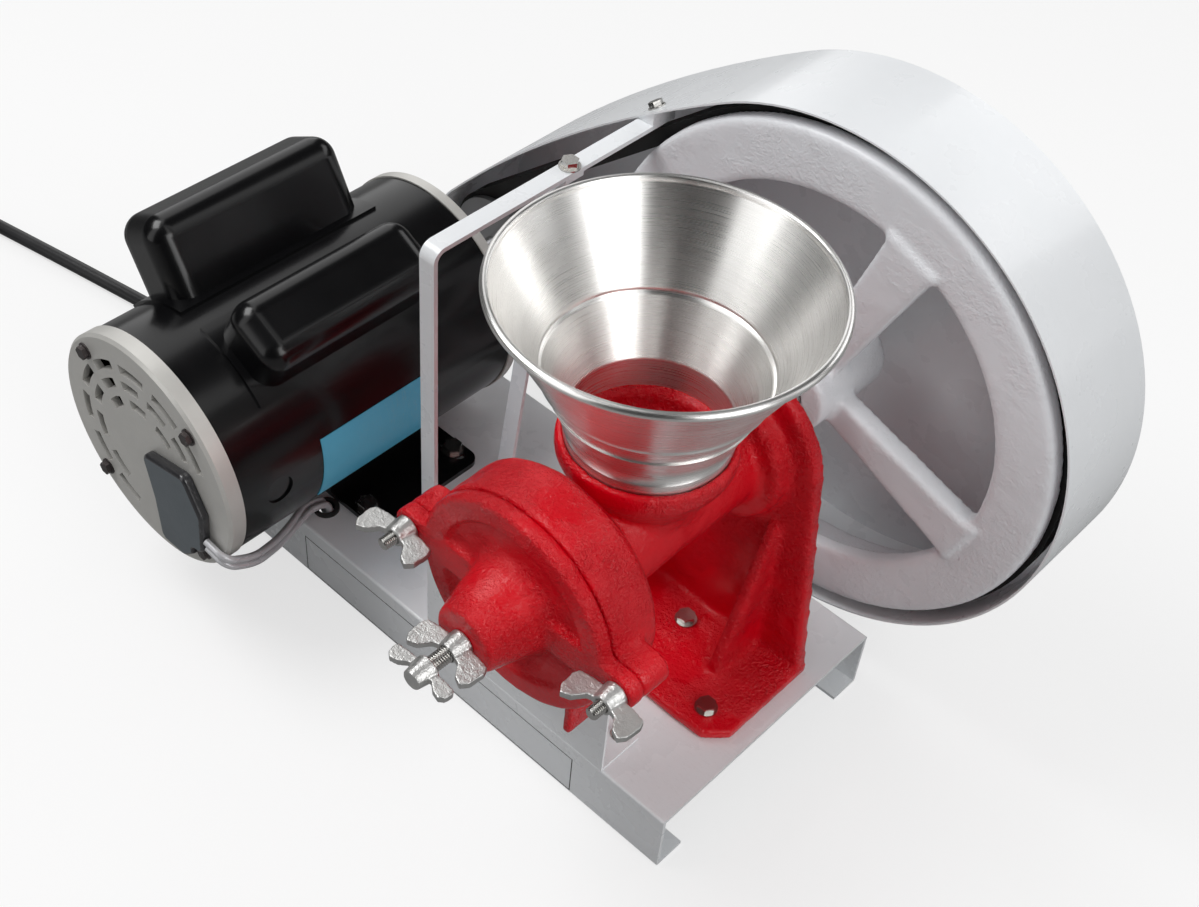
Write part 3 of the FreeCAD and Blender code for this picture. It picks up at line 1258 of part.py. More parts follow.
shaft_end = drum_front + S.shaft_tip * HALF
screw = new_body("adjusting_screw")
screw_length = shaft_end - 2 * S.running_fit - screw_end - S.screw_wing_height
add_turning(screw, "Revolution", "XZ_Plane", [
    (ZERO, -screw_length), (S.screw_radius - 1, -screw_length),
    (S.screw_radius, 1 - screw_length), (S.screw_radius, ZERO), (S.nut_hub_radius, ZERO),
    (S.nut_hub_radius * 0.75, S.screw_wing_height), (ZERO, S.screw_wing_height)])
add_wings(screw, S.screw_wing_span, S.screw_wing_height * 0.8, Size(1))
seat(screw, S.mill_x, screw_end + S.screw_wing_height, mill_z, **TOWARDS_FRONT)

# Grinding discs, auger, shaft and bush

bush = turned_body("mill_bush", [
    (S.mill_shaft_radius + S.running_fit, ZERO), (S.bush_radius, ZERO),
    (S.bush_radius, S.bush_length), (S.mill_shaft_radius + S.running_fit, S.bush_length)])
bush_y = S.stand_back + S.rear_boss_depth - S.bush_length
seat(bush, S.mill_x, bush_y, mill_z)
chamber_floor = drum_back - S.drum_back_wall
disc_pitch = Size(360) / S.disc_groove_count


def grinding_disc(label, bore, place, facing):
    """A cast disc whose working face carries radial furrows."""
    body = new_body(label)
    thick = S.disc_thickness
    add_turning(body, "Revolution", "XY_Plane", [
        (bore, ZERO), (S.disc_radius, ZERO), (S.disc_radius, thick), (bore, thick)])
    furrow = new_sketch(body, "XZ_Plane", -1 * (ZERO if facing < 0 else thick))
    add_outline(furrow, [
        (bore + 5, -1 * Size(1.2)), (S.disc_radius + 2, -1 * Size(2.2)),
        (S.disc_radius + 2, Size(2.2)), (bore + 5, Size(1.2))])
    first = add_pocket(body, furrow, thick * 0.3, reverse=facing < 0)
    pattern = body.newObject("PartDesign::PolarPattern", f"{label}_furrows")
    pattern.Originals = [first]
    pattern.Axis = (furrow, ["N_Axis"])
    pattern.Angle = 360
    bind(pattern, Occurrences=S.disc_groove_count)
    body.Tip = pattern
    seat(body, S.mill_x, place, mill_z)


fixed_face = chamber_floor - S.disc_thickness
grinding_disc("fixed_grinding_disc", auger_bore, fixed_face, -1)
turning_face = fixed_face - S.disc_gap
grinding_disc("turning_grinding_disc", S.mill_shaft_radius, turning_face - S.disc_thickness, 1)
mill_shaft_length = S.wheel_front + hub_back - shaft_end
mill_shaft = turned_body("mill_shaft", [
    (ZERO, ZERO), (S.mill_shaft_radius - tip_bevel, ZERO), (S.mill_shaft_radius, tip_bevel),
    (S.mill_shaft_radius, mill_shaft_length - tip_bevel),
    (S.mill_shaft_radius - tip_bevel, mill_shaft_length), (ZERO, mill_shaft_length)])
seat(mill_shaft, S.mill_x, shaft_end, mill_z)

auger = new_body("feed_auger")
auger_start = chamber_floor - S.disc_thickness + 1
core_inside = S.mill_shaft_radius
add_turning(auger, "Revolution", "XZ_Plane", [
    (core_inside, ZERO), (S.auger_core_radius, ZERO), (S.auger_core_radius, S.auger_length),
    (core_inside, S.auger_length)])
flight_margin = S.auger_flight
flight = new_sketch(auger, "XZ_Plane")
add_outline(flight, [
    (S.auger_core_radius - 1, flight_margin * HALF), (S.auger_radius, flight_margin * 0.75),
    (S.auger_radius, flight_margin * 1.25), (S.auger_core_radius - 1, flight_margin * 1.5)])
helix = auger.newObject("PartDesign::AdditiveHelix", "auger_flight")
helix.Profile = flight
helix.ReferenceAxis = (flight, ["V_Axis"])
helix.Mode = 0
bind(helix, Pitch=S.auger_pitch, Height=S.auger_length - 2 * flight_margin)
seat(auger, S.mill_x, auger_start, mill_z, **TOWARDS_BACK)

# Hopper and its band


def sheet_profile(points, thickness):
    """Closes a bent sheet's outer path with the same path set inwards."""
    return points + [(radius - thickness, height) for radius, height in reversed(points)]


def turned_part(body, points, angle=Size(360)):
    """Revolves a profile part of the way round the body's upright axis."""
    sketch = new_sketch(body, "XZ_Plane")
    add_outline(sketch, points)
    turning = body.newObject("PartDesign::Revolution", f"{body.Name}_ring")
    turning.Profile = sketch
    turning.ReferenceAxis = (sketch, ["V_Axis"])
    bind(turning, Angle=angle)
    return turning


hopper = new_body("hopper")
groove_low = S.hopper_groove_height - S.hopper_groove_half
groove_high = S.hopper_groove_height + S.hopper_groove_half
groove_radius = S.hopper_groove_radius
turned_part(hopper, sheet_profile([
    (S.spigot_radius, ZERO), (S.spigot_radius, S.spigot_height), (groove_radius, groove_low),
    (groove_radius + S.hopper_groove_half, S.hopper_groove_height),
    (groove_radius + S.hopper_groove_half, groove_high),
    (S.hopper_radius, S.hopper_height - S.hopper_bead_radius)], S.hopper_sheet))
bead = new_sketch(hopper, "XZ_Plane")
add_circle(bead, S.hopper_radius - S.hopper_sheet * HALF, S.hopper_height - S.hopper_bead_radius,
           S.hopper_bead_radius)
rolled = hopper.newObject("PartDesign::Revolution", "hopper_bead")
rolled.Profile = bead
rolled.ReferenceAxis = (bead, ["V_Axis"])
rolled.Angle = 360
band_low = S.socket_depth + S.spigot_fit
cone_flare = (groove_radius - S.spigot_radius) / (groove_low - S.spigot_height)
band_reach = S.spigot_radius + (S.band_top - S.spigot_height) * cone_flare
in_sheet = S.hopper_sheet * HALF


def band_profile(sheets):
    """The wrapped band's section, a stated number of sheets thick."""
    proud = S.band_sheet * sheets
    return [(S.spigot_radius - in_sheet, band_low), (S.spigot_radius + proud, band_low),
            (S.spigot_radius + proud, S.spigot_height), (band_reach + proud, S.band_top),
            (band_reach - in_sheet, S.band_top), (S.spigot_radius - in_sheet, S.spigot_height)]


turned_part(hopper, band_profile(1))
turned_part(hopper, band_profile(2), S.band_seam_angle)
seat(hopper, S.mill_x, S.neck_y, socket_floor)

# Grommet and cable box

grommet = new_body("lead_grommet")
hole_radius = S.grommet_radius - S.grommet_lip
bore_radius = hole_radius - S.grommet_lip * HALF
add_turning(grommet, "Revolution", "XZ_Plane", [
    (bore_radius, -wall - S.grommet_lip), (S.grommet_radius, -wall - S.grommet_lip),
    (S.grommet_radius, -wall), (hole_radius, -wall), (hole_radius, ZERO), (S.grommet_radius, ZERO),
    (S.grommet_radius, S.grommet_lip), (bore_radius, S.grommet_lip)])
seat(grommet, S.lead_hole_x, S.lead_hole_y, base_top)
box_top = base_top - wall
box = new_body("cable_box")
box_half = S.cord_diameter * HALF + 2 * S.gland_wall
box_sketch = new_sketch(box, "XY_Plane", -2 * (box_top - S.cord_height))
box_length = 2 * S.gland_length
add_outline(box_sketch, [(ZERO, -box_half), (box_length, -box_half), (box_length, box_half),
                         (ZERO, box_half)])
boxed = add_pad(box, box_sketch, 2 * (box_top - S.cord_height))
soften(box, boxed, lambda edge: is_along(edge, ALONG_Z), Size(3))
seat(box, S.gland_x, S.gland_y, box_top)


# Leads and power cord


def real_point(x, y, z):
    return FreeCAD.Vector(x, y, z) - FreeCAD.Vector(origin_x.number, origin_y.number, 0)


def rounded_run(points):
    """Straight runs joined by tangent arcs; returns the wire and the smallest bend radius."""
    edges, radii, start = [], [], points[0]
    for before, corner, after in zip(points, points[1:], points[2:]):
        inward = (corner - before).normalize()
        outward = (after - corner).normalize()
        turn = inward.getAngle(outward)
        reach = 0.45 * min((corner - before).Length, (after - corner).Length)
        radius = reach / math.tan(turn / 2)
        radii.append(radius)
        first, last = corner - inward * reach, corner + outward * reach
        middle_way = (outward - inward).normalize()
        mid = corner + middle_way * (radius / math.cos(turn / 2) - radius)
        edges.append(Part.makeLine(start, first))
        edges.append(Part.Arc(first, mid, last).toShape())
        start = last
    edges.append(Part.makeLine(start, points[-1]))
    return Part.Wire(edges), min(radii)


def tube(wire, radius):
    start = wire.Edges[0]
    point = start.valueAt(start.FirstParameter)
    direction = start.tangentAt(start.FirstParameter)
    circle = Part.makeCircle(radius, point, direction)
    shape = wire.makePipeShell([Part.Wire([circle])], True, False)
    section = math.pi * radius * radius * wire.Length
    print(f"tube length {wire.Length:.0f} mm, volume share {shape.Volume / section:.4f}")
    return shape


def keep_feature(label, shape):
    piece = doc.addObject("Part::Feature", label)
    piece.Label = label
    piece.Shape = shape
    pieces[label] = piece


def biarc(start, start_way, end, end_way):
    """Two tangent arcs between two points with given directions."""
    chord = end - start
    ways = start_way + end_way
    a = 2 * (1 - start_way.dot(end_way))
    b = 2 * chord.dot(ways)
    c = -chord.dot(chord)
    reach = (-b + math.sqrt(b * b - 4 * a * c)) / (2 * a) if a > 1e-9 else -c / b
    joint = (start + start_way * reach + end - end_way * reach) * 0.5
    return [arc_from(start, start_way, joint), arc_from(end, end_way * -1, joint)]


def arc_from(start, way, end):
    """An arc that leaves a point along a direction and passes through another."""
    chord = end - start
    side = chord - way * chord.dot(way)
    if side.Length < 1e-7:
        return Part.makeLine(start, end)
    radius = chord.dot(chord) / (2 * side.Length)
    inward = side.normalize()
    centre = start + inward * radius
    spread = 2 * math.asin(min(1, chord.Length / (2 * radius)))
    if chord.dot(way) < 0:
        spread = 2 * math.pi - spread
    half = spread / 2
    mid = centre - inward * (radius * math.cos(half)) + way * (radius * math.sin(half))
    return Part.Arc(start, mid, end).toShape()


lead_radius = S.lead_diameter.number / 2
half_gap = S.lead_spacing.number / 2
LEAD_ROUTE = [(147.4, -84, 103), (165.5, -83.4, 99), (165.5, -62, 86), (150, -30, 67), (137, 4, 64),
              (136, 20, 57), (136, 20, 42), (133, 40, 33), (118, 80, 30)]
LEAD_STRAIGHT = 18
lead_end = S.gland_x.number + 2 * S.gland_length.number
leads = []
for sign in (-1, 1):
    shift = FreeCAD.Vector(0.1, 0, -1) * (sign * half_gap)
    side = FreeCAD.Vector(0, 1, 0) * (sign * half_gap)
    route = []
    for index, point in enumerate(LEAD_ROUTE):
        place = real_point(*point)
        route.append(place + (shift if index < 4 else FreeCAD.Vector(sign * half_gap, 0, 0)))
    route[-1] = real_point(*LEAD_ROUTE[-1]) + side
    for reach in (LEAD_STRAIGHT, 0):
        route.append(real_point(lead_end + reach, S.gland_y.number, S.cord_height.number) + side)
    wire, smallest = rounded_run(route)
    print(f"motor lead smallest bend {smallest:.1f} mm")
    leads.append(tube(wire, lead_radius))
keep_feature("motor_leads", Part.makeCompound(leads))

cord_radius = S.cord_diameter.number / 2
on_floor = cord_radius + 0.2
CORD_ROUTE = [(40, 103, 30), (-22, 99, 27), (-95, 91, 13), (-165, 84, 5.7), (-255, 68, 5.7),
              (-395, 41, 5.7)]
cord_route = [real_point(*point) for point in CORD_ROUTE]
wire, smallest = rounded_run(cord_route)
print(f"power cord smallest bend {smallest:.0f} mm")
keep_feature("power_cord", tube(wire, cord_radius))

# The cord's put-away length: a spiral in on the floor and out again in a second layer

COIL_RINGS = 2
RISE_TURNS = 0.25
STEPS_PER_TURN = 4
coil_pitch = S.cord_diameter.number + S.coil_gap.number
outer_ring = S.coil_mid_radius.number + coil_pitch
heading = (cord_route[-1] - cord_route[-2]).normalize()
spiral_start = cord_route[-1] + heading * S.cord_diameter.number
first_turn = math.atan2(-heading.x, heading.y)
inward_way = FreeCAD.Vector(-math.cos(first_turn), -math.sin(first_turn))
coil_centre = spiral_start + inward_way * outer_ring
total_turns = 2 * COIL_RINGS + RISE_TURNS


def coil_point(turn):
    rise = min(1, max(0, (turn - COIL_RINGS) / RISE_TURNS))
    ring = min(turn, COIL_RINGS) - max(0, turn - COIL_RINGS - RISE_TURNS)
    angle = first_turn + 2 * math.pi * turn
    radius = outer_ring - coil_pitch * ring
    lift = coil_pitch * rise * rise * (3 - 2 * rise)
    return coil_centre + FreeCAD.Vector(radius * math.cos(angle), radius * math.sin(angle), lift)


def coil_way(turn):
    small = 1e-4
    angle = first_turn + 2 * math.pi * turn
    if turn < small or turn > total_turns - small:
        return FreeCAD.Vector(-math.sin(angle), math.cos(angle))
    return (coil_point(turn + small) - coil_point(turn - small)).normalize()


edges = [Part.makeLine(cord_route[-1], spiral_start)]
step_count = int(total_turns * STEPS_PER_TURN)
for step in range(step_count):
    here, there = step / STEPS_PER_TURN, (step + 1) / STEPS_PER_TURN
    edges += biarc(coil_point(here), coil_way(here), coil_point(there), coil_way(there))
spiral_end = coil_point(total_turns)
end_heading = coil_way(total_turns)
cord_end = spiral_end + end_heading * S.plug_lead.number
edges.append(Part.makeLine(spiral_end, cord_end))
coil_wire = Part.Wire(edges)
samples = [coil_point(step / 36) for step in range(int(total_turns * 36) + 1)]
gaps = [(first - second).Length for index, first in enumerate(samples)
        for second in samples[index + 18:]]
print(f"coil length {coil_wire.Length:.0f} mm, least gap {min(gaps) - 2 * cord_radius:.2f} mm")
keep_feature("power_cord_coil", tube(coil_wire, cord_radius))

# Plug at the end of the cord

plug = new_body("power_plug")
neck_end = S.plug_length * HALF
add_turning(plug, "Revolution", "XZ_Plane", [
    (ZERO, ZERO), (S.cord_diameter * 0.7, ZERO), (S.cord_diameter * 0.85, neck_end),
    (S.plug_radius - 2, neck_end + 4), (S.plug_radius, neck_end + 6),
    (S.plug_radius, S.plug_length), (ZERO, S.plug_length)])
BLADE_HALF_GAP, BLADE_HALF_WIDTH, BLADE_THICKNESS, PIN_RADIUS, PIN_OFFSET = 6.35, 3.2, 1.5, 2.4, 11.9
for side in (-1, 1):
    blade_plan = new_sketch(plug, "XY_Plane", S.plug_length - 1)
    middle = side * BLADE_HALF_GAP
    low_edge, high_edge = middle - BLADE_THICKNESS / 2, middle + BLADE_THICKNESS / 2
    add_outline(blade_plan, [
        (low_edge, -BLADE_HALF_WIDTH), (high_edge, -BLADE_HALF_WIDTH),
        (high_edge, BLADE_HALF_WIDTH), (low_edge, BLADE_HALF_WIDTH)])
    add_pad(plug, blade_plan, S.blade_length + 1)
pin_plan = new_sketch(plug, "XY_Plane", S.plug_length - 1)
add_circle(pin_plan, ZERO, PIN_OFFSET, PIN_RADIUS)
add_pad(plug, pin_plan, S.blade_length + 4)
doc.recompute()
lay_down = FreeCAD.Rotation(FreeCAD.Vector(0, 0, 1), end_heading)
plug.Placement = FreeCAD.Placement(cord_end, lay_down)
pieces["power_plug"] = plug

# Check and write

doc.recompute()
for item in doc.Objects:
    faults = [state for state in item.State if state in ("Invalid", "Error")]
    if faults:
        raise RuntimeError(f"{item.Name} is {faults}")
for label, piece in pieces.items():
    shape = piece.Shape
    if shape.isNull() or not shape.isValid() or not shape.Solids:
        raise RuntimeError(f"{label} has no valid solid")
    shape.exportStep(f"parts/{label}.step")
print(len(pieces), "pieces written")
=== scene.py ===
# %% [markdown]
# # Electric grain mill
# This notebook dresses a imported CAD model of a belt-driven grain mill. The CAD gives every size;
# here each visible piece gets its finish, and the pieces that CAD can only rough out, such as the
# spun hopper, the sand castings and the wing nuts, are modelled again as smooth surfaces.

# %% Load the frame
import json
import math

import bpy
import numpy as np
from mathutils import Matrix, Vector


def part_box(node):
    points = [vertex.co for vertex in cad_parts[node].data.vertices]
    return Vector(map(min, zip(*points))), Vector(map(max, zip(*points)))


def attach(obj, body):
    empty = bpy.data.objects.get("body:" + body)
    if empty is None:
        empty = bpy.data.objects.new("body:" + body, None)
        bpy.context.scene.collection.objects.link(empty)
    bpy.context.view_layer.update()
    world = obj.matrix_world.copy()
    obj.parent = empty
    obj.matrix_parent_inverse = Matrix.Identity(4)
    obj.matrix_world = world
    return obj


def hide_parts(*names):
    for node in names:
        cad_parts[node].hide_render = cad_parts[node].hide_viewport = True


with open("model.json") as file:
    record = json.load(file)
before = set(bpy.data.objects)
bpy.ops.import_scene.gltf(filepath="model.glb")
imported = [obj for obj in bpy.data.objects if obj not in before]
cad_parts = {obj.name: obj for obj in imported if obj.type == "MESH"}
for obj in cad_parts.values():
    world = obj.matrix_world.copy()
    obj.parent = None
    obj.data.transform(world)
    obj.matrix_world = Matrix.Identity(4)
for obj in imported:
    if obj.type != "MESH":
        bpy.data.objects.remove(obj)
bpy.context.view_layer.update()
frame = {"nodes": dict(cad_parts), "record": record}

nodes = frame["nodes"]


# %% [markdown]
# The turned pieces modelled below keep their places. Each place is read from the box of its CAD
# node, so that a change of size in the CAD moves the new piece as well.

# %% Places
def middle(node):
    """The middle of a CAD node's box: half of lowest plus highest corner."""
    low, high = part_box(node)
    return (Vector(low) + Vector(high)) / 2


hopper_axis = middle("hopper")
print("hopper axis", [round(v, 4) for v in hopper_axis])


# %% [markdown]
# ## Node groups
# Several finishes share the same effects: slow colour drift, fine surface grain, dust that
# settles on faces that look up, and scuffs. Each effect is built once as a node group with named
# inputs, and each material sets its own values. The shader itself stays in the material.

# %% A helper for groups
def new_group(name, inputs, outputs):
    """An empty shader group with float or colour sockets and its two end nodes."""
    group = bpy.data.node_groups.new(name, "ShaderNodeTree")
    for label, kind, value in inputs:
        socket = group.interface.new_socket(label, in_out="INPUT", socket_type=kind)
        if value is not None:
            socket.default_value = value
    for label, kind in outputs:
        group.interface.new_socket(label, in_out="OUTPUT", socket_type=kind)
    start = group.nodes.new("NodeGroupInput")
    end = group.nodes.new("NodeGroupOutput")
    return group, start, end


def add_node(tree, kind, **values):
    """A node with some of its properties and input values set; links are given as sockets."""
    node = tree.nodes.new(kind)
    for key, value in values.items():
        if key in node.inputs:
            feed(tree, node.inputs[key], value)
        else:
            setattr(node, key, value)
    return node


def feed(tree, socket, value):
    """Gives an input its value: a link from a socket, or a plain number or colour."""
    if isinstance(value, bpy.types.NodeSocket):
        tree.links.new(value, socket)
    else:
        socket.default_value = value


def calc(tree, operation, first, second=None, third=None, clamp=False):
    """One Math node; its operands are numbers or sockets."""
    node = tree.nodes.new("ShaderNodeMath")
    node.operation = operation
    node.use_clamp = clamp
    for socket, value in zip(node.inputs, (first, second, third)):
        if value is not None:
            feed(tree, socket, value)
    return node.outputs[0]


def noise(tree, vector, scale, detail=3.0, roughness=0.5, distortion=0.0):
    """A noise texture's value between 0 and 1; a larger scale gives smaller spots."""
    node = add_node(tree, "ShaderNodeTexNoise", Vector=vector, Detail=detail,
                    Roughness=roughness, Distortion=distortion)
    feed(tree, node.inputs["Scale"], scale)
    return node.outputs["Fac"]


def mix_colour(tree, factor, first, second):
    """The first colour at factor 0, the second at factor 1."""
    node = tree.nodes.new("ShaderNodeMix")
    node.data_type = "RGBA"
    feed(tree, node.inputs["Factor"], factor)
    feed(tree, node.inputs["A"], first)
    feed(tree, node.inputs["B"], second)
    return node.outputs["Result"]


# %% Colour drift
FLOAT, COLOUR, VECTOR = "NodeSocketFloat", "NodeSocketColor", "NodeSocketVector"


FINER, FINE_SHARE = 9.0, 0.4


def build_colour_drift():
    """Colour * (1 + amount * (slow + share * fine - the mean of both)), of two noises."""
    group, start, end = new_group(
        "colour_drift",
        [("Vector", VECTOR, None), ("Colour", COLOUR, (1, 1, 1, 1)), ("Scale", FLOAT, 12.0),
         ("Amount", FLOAT, 0.15)],
        [("Colour", COLOUR)])
    slow = noise(group, start.outputs["Vector"], start.outputs["Scale"], 4.0)
    fine_scale = calc(group, "MULTIPLY", start.outputs["Scale"], FINER)
    fine = noise(group, start.outputs["Vector"], fine_scale, 2.0)
    both = calc(group, "MULTIPLY_ADD", fine, FINE_SHARE, slow)
    centred = calc(group, "SUBTRACT", both, 0.5 + 0.5 * FINE_SHARE)
    gain = calc(group, "MULTIPLY_ADD", centred, start.outputs["Amount"], 1.0)
    scaled = group.nodes.new("ShaderNodeVectorMath")
    scaled.operation = "SCALE"
    group.links.new(start.outputs["Colour"], scaled.inputs[0])
    group.links.new(gain, scaled.inputs["Scale"])
    group.links.new(scaled.outputs[0], end.inputs["Colour"])
    return group


# %% Surface grain
PATCH_SCALE, PATCH_START, PATCH_EDGE = 22.0, 0.42, 7.0


def build_grain():
    """Height = (coarse noise * coarse + fine noise * fine) * (1 - patches * smooth), where smooth
    is 1 in the broad spots where thick paint has filled the grain."""
    group, start, end = new_group(
        "surface_grain",
        [("Vector", VECTOR, None), ("Coarse Scale", FLOAT, 150.0), ("Fine Scale", FLOAT, 900.0),
         ("Coarse", FLOAT, 0.7), ("Fine", FLOAT, 0.3), ("Patches", FLOAT, 0.0)],
        [("Height", FLOAT)])
    coarse = noise(group, start.outputs["Vector"], start.outputs["Coarse Scale"], 3.0, 0.55, 0.4)
    fine = noise(group, start.outputs["Vector"], start.outputs["Fine Scale"], 2.0)
    first = calc(group, "MULTIPLY", coarse, start.outputs["Coarse"])
    height = calc(group, "MULTIPLY_ADD", fine, start.outputs["Fine"], first)
    rough = noise(group, start.outputs["Vector"], PATCH_SCALE, 3.0)
    rough = calc(group, "SUBTRACT", rough, PATCH_START)
    rough = calc(group, "MULTIPLY", rough, PATCH_EDGE, clamp=True)
    smooth = calc(group, "SUBTRACT", 1.0, rough)
    smooth = calc(group, "MULTIPLY", smooth, start.outputs["Patches"])
    keep = calc(group, "SUBTRACT", 1.0, smooth)
    height = calc(group, "MULTIPLY", height, keep)
    group.links.new(height, end.inputs["Height"])
    return group


# %% Dust
DUST_START = 0.35


def build_dust():
    """Mask = how far the face looks up * patchy noise * amount."""
    group, start, end = new_group(
        "dust_mask", [("Vector", VECTOR, None), ("Scale", FLOAT, 25.0), ("Amount", FLOAT, 0.2)],
        [("Mask", FLOAT)])
    normal = group.nodes.new("ShaderNodeNewGeometry").outputs["Normal"]
    split = add_node(group, "ShaderNodeSeparateXYZ", Vector=normal)
    upward = calc(group, "MAXIMUM", split.outputs["Z"], 0.0)
    patch = noise(group, start.outputs["Vector"], start.outputs["Scale"], 5.0, 0.65)
    patch = calc(group, "SUBTRACT", patch, DUST_START, clamp=True)
    mask = calc(group, "MULTIPLY", upward, patch)
    mask = calc(group, "MULTIPLY", mask, start.outputs["Amount"], clamp=True)
    group.links.new(mask, end.inputs["Mask"])
    return group


# %% Scuffs
LINE_MIDDLE, LINE_HALF, SPOT_SCALE, SPOT_START, SPOT_EDGE = 0.5, 0.006, 9.0, 0.48, 6.0


def build_scuffs():
    """Mask = thin lines where a stretched noise crosses its middle, in a few broad spots only."""
    group, start, end = new_group(
        "scuff_mask", [("Vector", VECTOR, None), ("Scale", FLOAT, 40.0), ("Amount", FLOAT, 0.3)],
        [("Mask", FLOAT)])
    stretch = group.nodes.new("ShaderNodeMapping")
    group.links.new(start.outputs["Vector"], stretch.inputs["Vector"])
    stretch.inputs["Rotation"].default_value = (0.4, 0.7, 0.3)
    stretch.inputs["Scale"].default_value = (1.0, 7.0, 1.0)
    wave = noise(group, stretch.outputs["Vector"], start.outputs["Scale"], 4.0, 0.6)
    line = calc(group, "COMPARE", wave, LINE_MIDDLE, LINE_HALF)
    where = noise(group, start.outputs["Vector"], SPOT_SCALE, 2.0)
    where = calc(group, "SUBTRACT", where, SPOT_START, clamp=True)
    where = calc(group, "MULTIPLY", where, SPOT_EDGE, clamp=True)
    mask = calc(group, "MULTIPLY", line, where)
    mask = calc(group, "MULTIPLY", mask, start.outputs["Amount"], clamp=True)
    group.links.new(mask, end.inputs["Mask"])
    return group


# %% The four effects
effects = {"drift": build_colour_drift(), "grain": build_grain(), "dust": build_dust(),
           "scuffs": build_scuffs()}
print("groups:", ", ".join(sorted(group.name for group in effects.values())))


def effect(tree, name, **values):
    """One of the shared groups placed in a material, with its own values."""
    node = tree.nodes.new("ShaderNodeGroup")
    node.node_tree = effects[name]
    for key, value in values.items():
        feed(tree, node.inputs[key.replace("_", " ")], value)
    return node.outputs[0]


# %% [markdown]
# ## Finishes
# A finish starts from one recipe: a drifting colour, roughness that varies a little, dust on top,
# and a bump from the grain. What differs is the numbers: a casting has a coarse skin under thick
# enamel, sheet metal's paint is nearly flat, and zinc is a dull metal with small pits.

# %% The common recipe
DUST_COLOUR, DUST_ROUGHNESS, ROUGH_DRIFT = (0.55, 0.53, 0.5, 1), 0.5, 0.25


def finish_material(name, colour, rough=0.4, metallic=0.0, coat=0.0, drift=0.12,
                    drift_scale=12.0, coarse=150.0, fine=900.0, bump=0.1, depth=0.0003,
                    dust=0.15, scuffs=0.0, scuff_colour=(0.6, 0.6, 0.6), specular=0.5,
                    patches=0.0):
    """One material: colour with drift, dust and scuffs; roughness +- a quarter; bump from grain,
    where depth is the grain's height in metres."""
    material = bpy.data.materials.new(name)
    material.use_nodes = True
    tree = material.node_tree
    shader = tree.nodes["Principled BSDF"]
    place = tree.nodes.new("ShaderNodeTexCoord").outputs["Object"]
    base = effect(tree, "drift", Vector=place, Colour=(*colour, 1), Scale=drift_scale,
                  Amount=drift)
    dusty = effect(tree, "dust", Vector=place, Amount=dust)
    base = mix_colour(tree, dusty, base, DUST_COLOUR)
    if scuffs > 0:
        scuffed = effect(tree, "scuffs", Vector=place, Amount=scuffs)
        base = mix_colour(tree, scuffed, base, (*scuff_colour, 1))
    tree.links.new(base, shader.inputs["Base Color"])
    uneven = noise(tree, place, drift_scale * 3, 4.0)
    spread = calc(tree, "MULTIPLY_ADD", uneven, rough * ROUGH_DRIFT * 2, rough * (1 - ROUGH_DRIFT))
    spread = calc(tree, "MULTIPLY_ADD", dusty, DUST_ROUGHNESS, spread, clamp=True)
    tree.links.new(spread, shader.inputs["Roughness"])
    height = effect(tree, "grain", Vector=place, Coarse_Scale=coarse, Fine_Scale=fine,
                    Patches=patches)
    relief = add_node(tree, "ShaderNodeBump", Strength=bump, Distance=depth, Height=height)
    tree.links.new(relief.outputs["Normal"], shader.inputs["Normal"])
    shader.inputs["Metallic"].default_value = metallic
    shader.inputs["Specular IOR Level"].default_value = specular
    shader.inputs["Coat Weight"].default_value = coat
    shader.inputs["Coat Roughness"].default_value = 0.1
    return material


# %% Brushed steel
STREAKS_ROUND, LINES_PER_METRE = 5.0, 2600.0
TONES_ROUND, TONES_PER_METRE = 9.0, 120.0
DARK_STEEL, PALE_STEEL = (0.62, 0.61, 0.60, 1), (0.97, 0.96, 0.94, 1)


def brush(material):
    """Adds marks that run round a turned piece: its gloss spreads across them, along the funnel.
    Two noises on the UV map, stretched round the piece, give fine lines and broad tones."""
    tree = material.node_tree
    shader = tree.nodes["Principled BSDF"]
    around = add_node(tree, "ShaderNodeUVMap")
    around.uv_map = "around"
    mapping = tree.nodes.new("ShaderNodeMapping")
    tree.links.new(around.outputs["UV"], mapping.inputs["Vector"])
    mapping.inputs["Scale"].default_value = (STREAKS_ROUND, LINES_PER_METRE, 1.0)
    marks = noise(tree, mapping.outputs["Vector"], 1.0, 3.0, 0.6)
    spread = calc(tree, "MULTIPLY_ADD", marks, 0.3, 0.14)
    tree.links.new(spread, shader.inputs["Roughness"])
    relief = add_node(tree, "ShaderNodeBump", Strength=0.12, Distance=0.00003, Height=marks)
    tree.links.new(relief.outputs["Normal"], shader.inputs["Normal"])
    broad = tree.nodes.new("ShaderNodeMapping")
    tree.links.new(around.outputs["UV"], broad.inputs["Vector"])
    broad.inputs["Scale"].default_value = (TONES_ROUND, TONES_PER_METRE, 1.0)
    tone = noise(tree, broad.outputs["Vector"], 1.0, 4.0, 0.6)
    tone = calc(tree, "MULTIPLY_ADD", tone, 0.3, 0.5)
    colour = mix_colour(tree, tone, DARK_STEEL, PALE_STEEL)
    tree.links.new(colour, shader.inputs["Base Color"])
    direction = tree.nodes.new("ShaderNodeTangent")
    direction.direction_type = "UV_MAP"
    direction.uv_map = "around"
    tree.links.new(direction.outputs["Tangent"], shader.inputs["Tangent"])
    shader.inputs["Anisotropic"].default_value = 0.85
    shader.inputs["Anisotropic Rotation"].default_value = 0.25
    return material


